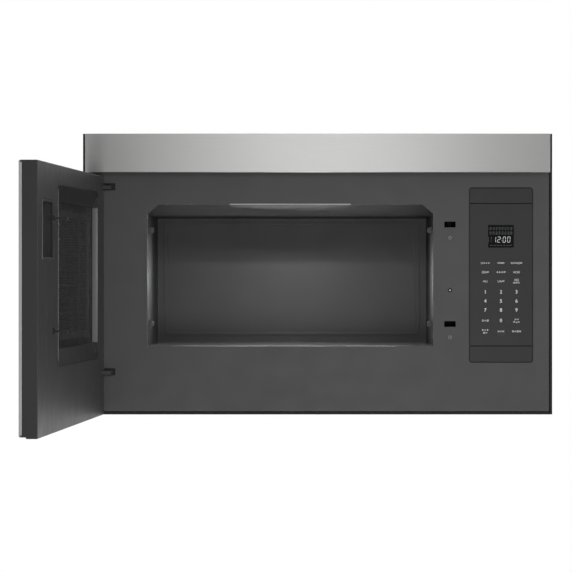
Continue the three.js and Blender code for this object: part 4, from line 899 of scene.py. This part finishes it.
def icon_drop(m, x, z):
    m.arc(x, z - ICON * 0.3, ICON * 0.6, ICON * 0.6, 150, 390, STROKE, 10)
    m.line([(x - ICON * 0.5, z), (x, z + ICON), (x + ICON * 0.5, z)], STROKE)


def icon_waves(m, x, z):
    for rise in (-0.6, 0.0, 0.6):
        m.line([(x - ICON, z + rise * ICON), (x + ICON, z + (rise + 0.3) * ICON)], STROKE * 0.8)


def icon_warm(m, x, z):
    for i in (-1, 0, 1):
        m.line([(x + i * ICON * 0.8, z - ICON), (x + i * ICON * 0.8, z + ICON)], STROKE * 0.8)


def icon_clock(m, x, z):
    m.arc(x, z, ICON, ICON, 0, 360, STROKE, 12)
    m.line([(x, z + ICON * 0.6), (x, z)], STROKE)


def icon_levels(m, x, z):
    for i in range(3):
        left, top = x + ICON * (0.7 * i - 0.9), z + ICON * (0.7 * i - 0.4)
        m.polygon([(left, z - ICON), (left + STROKE, z - ICON), (left + STROKE, top), (left, top)])


def icon_start(m, x, z):
    m.polygon([(x - ICON * 0.7, z - ICON), (x + ICON, z), (x - ICON * 0.7, z + ICON)])


def icon_stop(m, x, z):
    m.line([(x - ICON * 0.8, z - ICON * 0.8), (x + ICON * 0.8, z + ICON * 0.8)], STROKE)
    m.line([(x - ICON * 0.8, z + ICON * 0.8), (x + ICON * 0.8, z - ICON * 0.8)], STROKE)


def icon_wheel(m, x, z):
    m.arc(x, z, ICON * 0.55, ICON * 0.55, 0, 360, STROKE, 10)
    for i in range(6):
        a = math.radians(60 * i)
        ends = [(x + r * math.cos(a), z + r * math.sin(a)) for r in (ICON * 0.7, ICON * 1.1)]
        m.line(ends, STROKE)


# keypad rows from the panel's lower edge, in mm: a figure, or lines of pictograms
COLUMNS = (-25.3, 0.0, 25.2)
KEY_ROWS = (
    (159.4, ((icon_cup, icon_dot, icon_dot, icon_dot),),
     ((icon_oval, icon_oval, icon_waves),),
     ((icon_leaf, icon_drop, icon_leaf, icon_pot, icon_waves),)),
    (144.6, ((icon_pot, icon_warm, icon_waves),),
     ((icon_flake, icon_drop, icon_drop, icon_waves),),
     ((icon_again, icon_pot, icon_warm),)),
    (129.8, ((icon_oval, icon_cup),), ((icon_cup, icon_drop, icon_waves),),
     ((icon_warm, icon_pot), (icon_oval, icon_waves, icon_dot))),
    (112.5, "1", "2", "3"),
    (97.8, "4", "5", "6"),
    (83.1, "7", "8", "9"),
    (66.3, ((icon_clock, icon_dot, icon_clock),), "0",
     ((icon_levels, icon_levels), (icon_waves, icon_levels, icon_dot))),
    (48.8, ((icon_start, icon_dot, icon_start), (icon_clock, icon_dot)),
     ((icon_stop, icon_dot, icon_stop),), ((icon_wheel, icon_dot, icon_clock, icon_wheel),)),
)
DIGIT_SIZE, DIGIT_HEAVY = 7.8 * MM, 0.1 * MM
SEPARATORS = (-12.8, 12.4)  # mm, between the columns of pictograms
KEY_ARC = (51.7, 9, 225, 315)  # below the middle keys: rise and radius in mm, ends in degrees
GROOVES = (("divider_lower", 25.2), ("divider_upper", 255.7))
GROOVE_END, GROOVE_WIDTH = 0.8 * MM, 1.25 * MM


def make_keypad():
    low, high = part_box("control_panel")
    mid = (low.x + high.x) / 2
    marks, faint = Marks(low.y), Marks(low.y)
    for rise, *keys in KEY_ROWS:
        z = low.z + rise * MM
        for across, key in zip(COLUMNS, keys):
            x = mid + across * MM
            if isinstance(key, str):
                marks.text(key, x, z, DIGIT_SIZE, DIGIT_HEAVY)
                continue
            for k, line in enumerate(key):
                level = z + ((len(key) - 1) / 2 - k) * LINE_PITCH
                for i, icon in enumerate(line):
                    icon(marks, x + (i - (len(line) - 1) / 2) * ICON_PITCH, level)
        if not isinstance(keys[0], str):
            for across in SEPARATORS:
                x = mid + across * MM
                faint.line([(x, z - ICON), (x, z + ICON)], 0.3 * MM)
    marks.piece("keypad_marks", "print")
    rise, radius, start, end = KEY_ARC
    faint.arc(mid, low.z + rise * MM, radius * MM, radius * MM, start, end, 0.4 * MM)
    faint.piece("keypad_lines", "faint_print")
    # a black inlay in each groove that divides the panel
    for name, rise in GROOVES:
        inlay = Marks(low.y + 0.3 * MM)
        z = low.z + rise * MM
        inlay.line([(low.x + GROOVE_END, z), (high.x - GROOVE_END, z)], GROOVE_WIDTH)
        inlay.piece("panel_" + name, "inlay", slot="black_plastic")


SOCKET_R, EYE_R = 1.1 * MM, 1.4 * MM
# width of the near-black band painted as shade on the plate's rim
RIM_SHADE = 1.2 * MM


def dot(node, name, radius, surface, slot=None):
    """A round mark in the middle of a node's front."""
    low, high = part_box(node)
    mark = Marks(low.y)
    mark.disc((low.x + high.x) / 2, (low.z + high.z) / 2, radius)
    mark.piece(name, surface, slot=slot)


def make_fastener_marks():
    """The bright socket of the latch screw, the eyes of the plugs, and a near-black band painted as shade on the
    front plate's rim by the case.
    """
    dot("latch_screw", "latch_screw_socket", SOCKET_R, "print", "zinc")
    for name in ("upper", "lower"):
        dot("latch_plug_" + name, "latch_plug_eye_" + name, EYE_R, "enamel")
    low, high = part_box("front_plate")
    strip_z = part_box("top_trim_strip")[0].z
    # painted shade: a near-black band on the plate's right and lower rim, where it meets the case, widening the
    # case's dark edge
    lip, half = Marks(low.y), RIM_SHADE / 2
    lip.line([(high.x - half, low.z), (high.x - half, strip_z)], RIM_SHADE)
    lip.line([(low.x, low.z + half), (high.x, low.z + half)], RIM_SHADE)
    lip.piece("case_lip", "inlay", slot="case_black")


# seven-segment figures: each segment by its ends in a box 1 wide and 2 high
SEGMENTS = {
    "a": ((0, 2), (1, 2)),
    "b": ((1, 2), (1, 1)),
    "c": ((1, 1), (1, 0)),
    "d": ((0, 0), (1, 0)),
    "e": ((0, 1), (0, 0)),
    "f": ((0, 2), (0, 1)),
    "g": ((0, 1), (1, 1)),
}
FIGURES = {"0": "abcdef", "1": "bc", "2": "abged"}
SLANT = 0.06
GAP = 0.16  # what a segment leaves out at each end, as a share
CLOCK = {"w": 0.0040, "h": 0.0088, "pitch": 0.0072, "stroke": 0.00065}
COLON = 1.6 * MM  # the room it takes between the hours and the minutes
CLOCK_DROP = 27.9 * MM  # from the display's top to the clock's foot
SMALL = {"w": 0.0023, "h": 0.0046, "pitch": 0.0048, "stroke": 0.0004}
SMALL_DROPS, SMALL_COUNT = (8.0 * MM, 15.2 * MM), 8
DASH = {"drop": 32.8 * MM, "pitch": 5.2 * MM, "half": 1.2 * MM, "stroke": 0.9 * MM, "count": 7}


def segment(marks, x, z, size, name):
    (x0, z0), (x1, z1) = SEGMENTS[name]
    dx, dz = (x1 - x0) * GAP, (z1 - z0) * GAP
    tall = size["h"] / 2
    ends = [
        (x + a * size["w"] + b * tall * SLANT, z + b * tall)
        for a, b in ((x0 + dx, z0 + dz), (x1 - dx, z1 - dz))
    ]
    marks.line(ends, size["stroke"])


def make_display():
    """The clock, and the figures and dashes that aren't lit."""
    low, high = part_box("display_glass")
    mid_x, top = (low.x + high.x) / 2, high.z
    lit, unlit = Marks(low.y), Marks(low.y)
    left = mid_x - 2 * CLOCK["pitch"] + COLON
    clock_z = top - CLOCK_DROP
    for i, figure in enumerate("1200"):
        x = left + i * CLOCK["pitch"] + (COLON if i > 1 else 0)
        for name in FIGURES[figure]:
            segment(lit, x, clock_z, CLOCK, name)
    colon_x = left + 2 * CLOCK["pitch"] - 0.6 * MM
    half = CLOCK["stroke"] / 2
    for share in (0.32, 0.68):
        z = clock_z + CLOCK["h"] * share
        x = colon_x + CLOCK["h"] * share * SLANT
        lit.polygon(
            [(x - half, z - half), (x + half, z - half), (x + half, z + half), (x - half, z + half)]
        )
    for drop in SMALL_DROPS:
        z = top - drop
        for i in range(SMALL_COUNT):
            x = mid_x + (i - (SMALL_COUNT - 1) / 2) * SMALL["pitch"] - SMALL["w"] / 2
            for name in SEGMENTS:
                segment(unlit, x, z, SMALL, name)
            unlit.line([(x, z), (x + SMALL["w"], z + SMALL["h"])], SMALL["stroke"])
    for i in range(DASH["count"]):
        x = mid_x + (i - (DASH["count"] - 1) / 2) * DASH["pitch"]
        z = top - DASH["drop"]
        unlit.line([(x - DASH["half"], z), (x + DASH["half"], z)], DASH["stroke"])
    for name in "bc":
        for places in (1, 1.6):
            segment(unlit, left - places * CLOCK["pitch"], clock_z, CLOCK, name)
    lit.piece("clock_figures", "lit")
    unlit.piece("unlit_figures", "unlit")


# ------------------------------------------------------------------ perforated screen

HOLE_PITCH = 0.0044
HOLE_R = 0.0017
SCREEN_EDGE = 0.0145  # plain border
SCREEN_END = 0.039  # plain border at the hinge side
SCREEN_STRIP = (-0.151, -0.138)  # plain strip between the two fields of holes


def make_screen():
    """The window's sheet with its field of six-sided holes, built on the shut door."""
    low, high = off_door_box("window_screen")
    columns = int((high.x - low.x - SCREEN_EDGE - SCREEN_END) / HOLE_PITCH)
    step_z = HOLE_PITCH * math.sqrt(3) / 2
    rows = int((high.z - low.z - 2 * SCREEN_EDGE) / step_z)
    half = HOLE_PITCH / 2
    x0, z0 = low.x + SCREEN_END, (low.z + high.z - rows * step_z) / 2
    x1, z1 = x0 + columns * HOLE_PITCH + half, z0 + rows * step_z
    bm = bmesh.new()

    def corner(x, z):
        return bm.verts.new(on_door(x, high.y, z))

    def plain(ax, bx, az, bz):
        bm.faces.new([corner(ax, az), corner(bx, az), corner(bx, bz), corner(ax, bz)])

    for row in range(rows):
        z = z0 + row * step_z
        for column in range(columns):
            x = x0 + (half if row % 2 else 0) + column * HOLE_PITCH
            if SCREEN_STRIP[0] < x < SCREEN_STRIP[1]:
                plain(x, x + HOLE_PITCH, z, z + step_z)
                continue
            right, top_r, top_l, left, low_l, low_r = (
                corner(x + half + HOLE_R * math.cos(a), z + step_z / 2 + HOLE_R * math.sin(a))
                for a in (math.radians(60 * k) for k in range(6))
            )
            a, b = corner(x, z), corner(x + HOLE_PITCH, z)
            c, d = corner(x + HOLE_PITCH, z + step_z), corner(x, z + step_z)
            for ring in (
                (a, b, low_r, low_l),
                (b, c, top_r, right, low_r),
                (c, d, top_l, top_r),
                (d, a, low_l, left, top_l),
            ):
                bm.faces.new(ring)
    # the half-hole steps at the ends of every other row, then the plain border
    for row in range(rows):
        x, z = x0 if row % 2 else x1 - half, z0 + row * step_z
        plain(x, x + half, z, z + step_z)
    plain(low.x, high.x, low.z, z0)
    plain(low.x, high.x, z1, high.z)
    plain(low.x, x0, z0, z1)
    plain(x1, high.x, z0, z1)
    bmesh.ops.remove_doubles(bm, verts=bm.verts, dist=WELD / 2)
    bmesh.ops.recalc_face_normals(bm, faces=bm.faces)
    mesh = as_mesh(bm, "window_screen")
    piece = show("perforated_screen", mesh, "screen", "door", "screen")
    sheet = piece.modifiers.new("sheet", "SOLIDIFY")
    sheet.thickness = high.y - low.y
    sheet.offset = 0
    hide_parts("window_screen")


# ------------------------------------------------------------------ surroundings

BACKGROUND = 1.0  # what the camera sees behind the oven
AMBIENT = 0.4
DIM_ROOM, PALE_ROOM = 0.13, 0.9  # what glossy surfaces see before and behind the oven
FLOOR_DROP = 0.5  # below the lowest piece
FLOOR_RADIUS = 60
FLOOR_GREY = (0.86, 0.86, 0.86, 1)
FADE = (0.9, 2.1)  # metres from the floor's middle between which it turns as white as the rest
FADE_NEAR = 0.5  # how far it is faded under the oven


def make_world():
    """Even light, white to the camera and through glass, and a room for gloss to show."""
    world = bpy.data.worlds.new("studio")
    scene.world = world
    world.use_nodes = True
    tree = world.node_tree
    background = tree.nodes["Background"]
    path = tree.nodes.new("ShaderNodeLightPath")
    coords = tree.nodes.new("ShaderNodeTexCoord")
    split = tree.nodes.new("ShaderNodeSeparateXYZ")
    tree.links.new(coords.outputs["Generated"], split.inputs[0])
    room = tree.nodes.new("ShaderNodeMapRange")
    room.interpolation_type = "SMOOTHSTEP"
    turn = {"From Min": -0.9, "From Max": 0.1, "To Min": DIM_ROOM, "To Max": PALE_ROOM}
    for key, number in turn.items():
        room.inputs[key].default_value = number
    tree.links.new(split.outputs["Y"], room.inputs["Value"])

    def mixed(flag, value, otherwise):
        node = tree.nodes.new("ShaderNodeMix")
        tree.links.new(flag, node.inputs["Factor"])
        for socket, given in ((node.inputs["B"], value), (node.inputs["A"], otherwise)):
            if isinstance(given, float):
                socket.default_value = given
            else:
                tree.links.new(given, socket)
        return node.outputs["Result"]

    strength = mixed(path.outputs["Is Glossy Ray"], room.outputs["Result"], AMBIENT)
    strength = mixed(path.outputs["Is Transmission Ray"], BACKGROUND, strength)
    strength = mixed(path.outputs["Is Camera Ray"], BACKGROUND, strength)
    background.inputs["Color"].default_value = (1, 1, 1, 1)
    tree.links.new(strength, background.inputs["Strength"])


def make_floor():
    """A pale floor well below the oven, which fades into the white surroundings."""
    floor_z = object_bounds()[0].z - FLOOR_DROP
    bm = bmesh.new()
    bmesh.ops.create_circle(bm, cap_ends=True, segments=64, radius=FLOOR_RADIUS)
    floor = bpy.data.objects.new("floor", as_mesh(bm, "floor"))
    floor.location = (0, -0.3, floor_z)
    scene.collection.objects.link(floor)
    n = Nodes("floor")
    n.set(Base_Color=FLOOR_GREY, Roughness=0.9, Specular_IOR_Level=0.1)
    glow = n.add("ShaderNodeEmission")
    path = n.add("ShaderNodeLightPath")
    seen = n.math("MAXIMUM", path.outputs["Is Camera Ray"], path.outputs["Is Glossy Ray"])
    seen = n.math("MAXIMUM", seen, path.outputs["Is Transmission Ray"])
    n.link(n.ramp(seen, 0, 1, AMBIENT, BACKGROUND), glow.inputs["Strength"])
    coords = n.add("ShaderNodeTexCoord")
    reach = n.add("ShaderNodeVectorMath", operation="LENGTH")
    n.link(coords.outputs["Object"], reach.inputs[0])
    fade = n.add("ShaderNodeMapRange", interpolation_type="SMOOTHSTEP")
    fade.inputs["From Min"].default_value = FADE[0]
    fade.inputs["From Max"].default_value = FADE[1]
    fade.inputs["To Min"].default_value = FADE_NEAR
    n.link(reach.outputs["Value"], fade.inputs["Value"])
    mix = n.add("ShaderNodeMixShader")
    n.link(fade.outputs["Result"], mix.inputs[0])
    n.link(n.shader.outputs[0], mix.inputs[1])
    n.link(glow.outputs[0], mix.inputs[2])
    n.link(mix.outputs[0], n.tree.nodes["Material Output"].inputs["Surface"])
    floor.data.materials.append(n.material)


# soft boxes: place from the front plate's middle, width, height and power
STUDIO = {
    "key": ((0.02, -2.2, 0.6), 0.5, 0.3, 4.2),
    "low": ((0.03, -2.2, -0.35), 0.5, 0.3, 6.5),
    "left": ((-1.0, -2.6, 0.1), 0.9, 0.9, 1.4),
    "right": ((1.1, -2.4, 0.1), 0.9, 0.9, 2.4),
    "far_right": ((2.2, -0.5, 0.2), 1.0, 1.0, 20),
    "top": ((0.0, -0.9, 2.2), 1.2, 1.2, 8),
}
DOWN = Vector((0, 0, -1))


def area_light(name, place, aim, width, height, power, spread=180):
    data = bpy.data.lights.new(name, "AREA")
    data.shape = "RECTANGLE"
    data.size = width
    data.size_y = height
    data.energy = power
    data.spread = math.radians(spread)
    lamp = bpy.data.objects.new(name, data)
    lamp.location = place
    lamp.rotation_euler = (Vector(aim) - Vector(place)).to_track_quat("-Z", "Y").to_euler()
    lamp.visible_camera = False
    scene.collection.objects.link(lamp)
    return lamp


def make_lights():
    """The studio's soft boxes and the oven's own lamp."""
    front = Vector((0, FRONT_Y, 0))
    for name, (place, width, height, power) in STUDIO.items():
        area_light(name, front + Vector(place), front, width, height, power)
    low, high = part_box("cavity_liner")
    mid = (low.x + high.x) / 2

    def inside(x, y, z):
        """A point by its distance from the cavity's middle, its mouth and the row frame's zero."""
        return Vector((mid + x, FRONT_Y + y, z))

    # the lamp's light down the mouth and on the back wall, and what comes back from the floor
    # and the sides
    lens, edge = inside(0, 0.0022, high.z - 0.0022), inside(0, 0.0015, high.z - 0.0045)
    floor, lip = inside(0, 0.03, low.z + 0.03), inside(0, 0.006, low.z + 0.06)
    back = Vector((mid, high.y, low.z + 0.06))
    lamps = [
        area_light("oven", lens, lens + DOWN, 0.19, 0.0035, 1.0),
        area_light("oven_throw", edge, back, 0.12, 0.006, 0.06, 80),
        area_light("oven_bounce", floor, floor - DOWN, 0.42, 0.02, 0.09, 50),
    ]
    for side in (-1, 1):
        place = inside(side * 0.1, 0.04, 0)
        aim = place + Vector((side, 0.1, -0.1))
        lamps.append(area_light(f"oven_side_{side}", place, aim, 0.1, 0.02, 0.16, 80))
    lamps.append(area_light("oven_lip", lip, lip + DOWN, 0.36, 0.006, 0.05, 50))
    # it lights the oven, not the studio's floor or the open door
    outside = bpy.data.collections.new("outside_the_oven")
    for name in ("floor", "dressed_door_inner_panel"):
        outside.objects.link(bpy.data.objects[name])
    for item in outside.collection_objects:
        item.light_linking.link_state = "EXCLUDE"
    for lamp in lamps:
        lamp.light_linking.receiver_collection = outside


make_camera()
make_world()
make_floor()
dress_cabinet()
dress_door()
make_lights()
make_screws()
for filter_side in ("left", "right"):
    make_filter_mesh(filter_side)
make_screen()
make_keypad()
make_fastener_marks()
make_display()
finish_inner_nodes()

scene.view_settings.view_transform = "Standard"
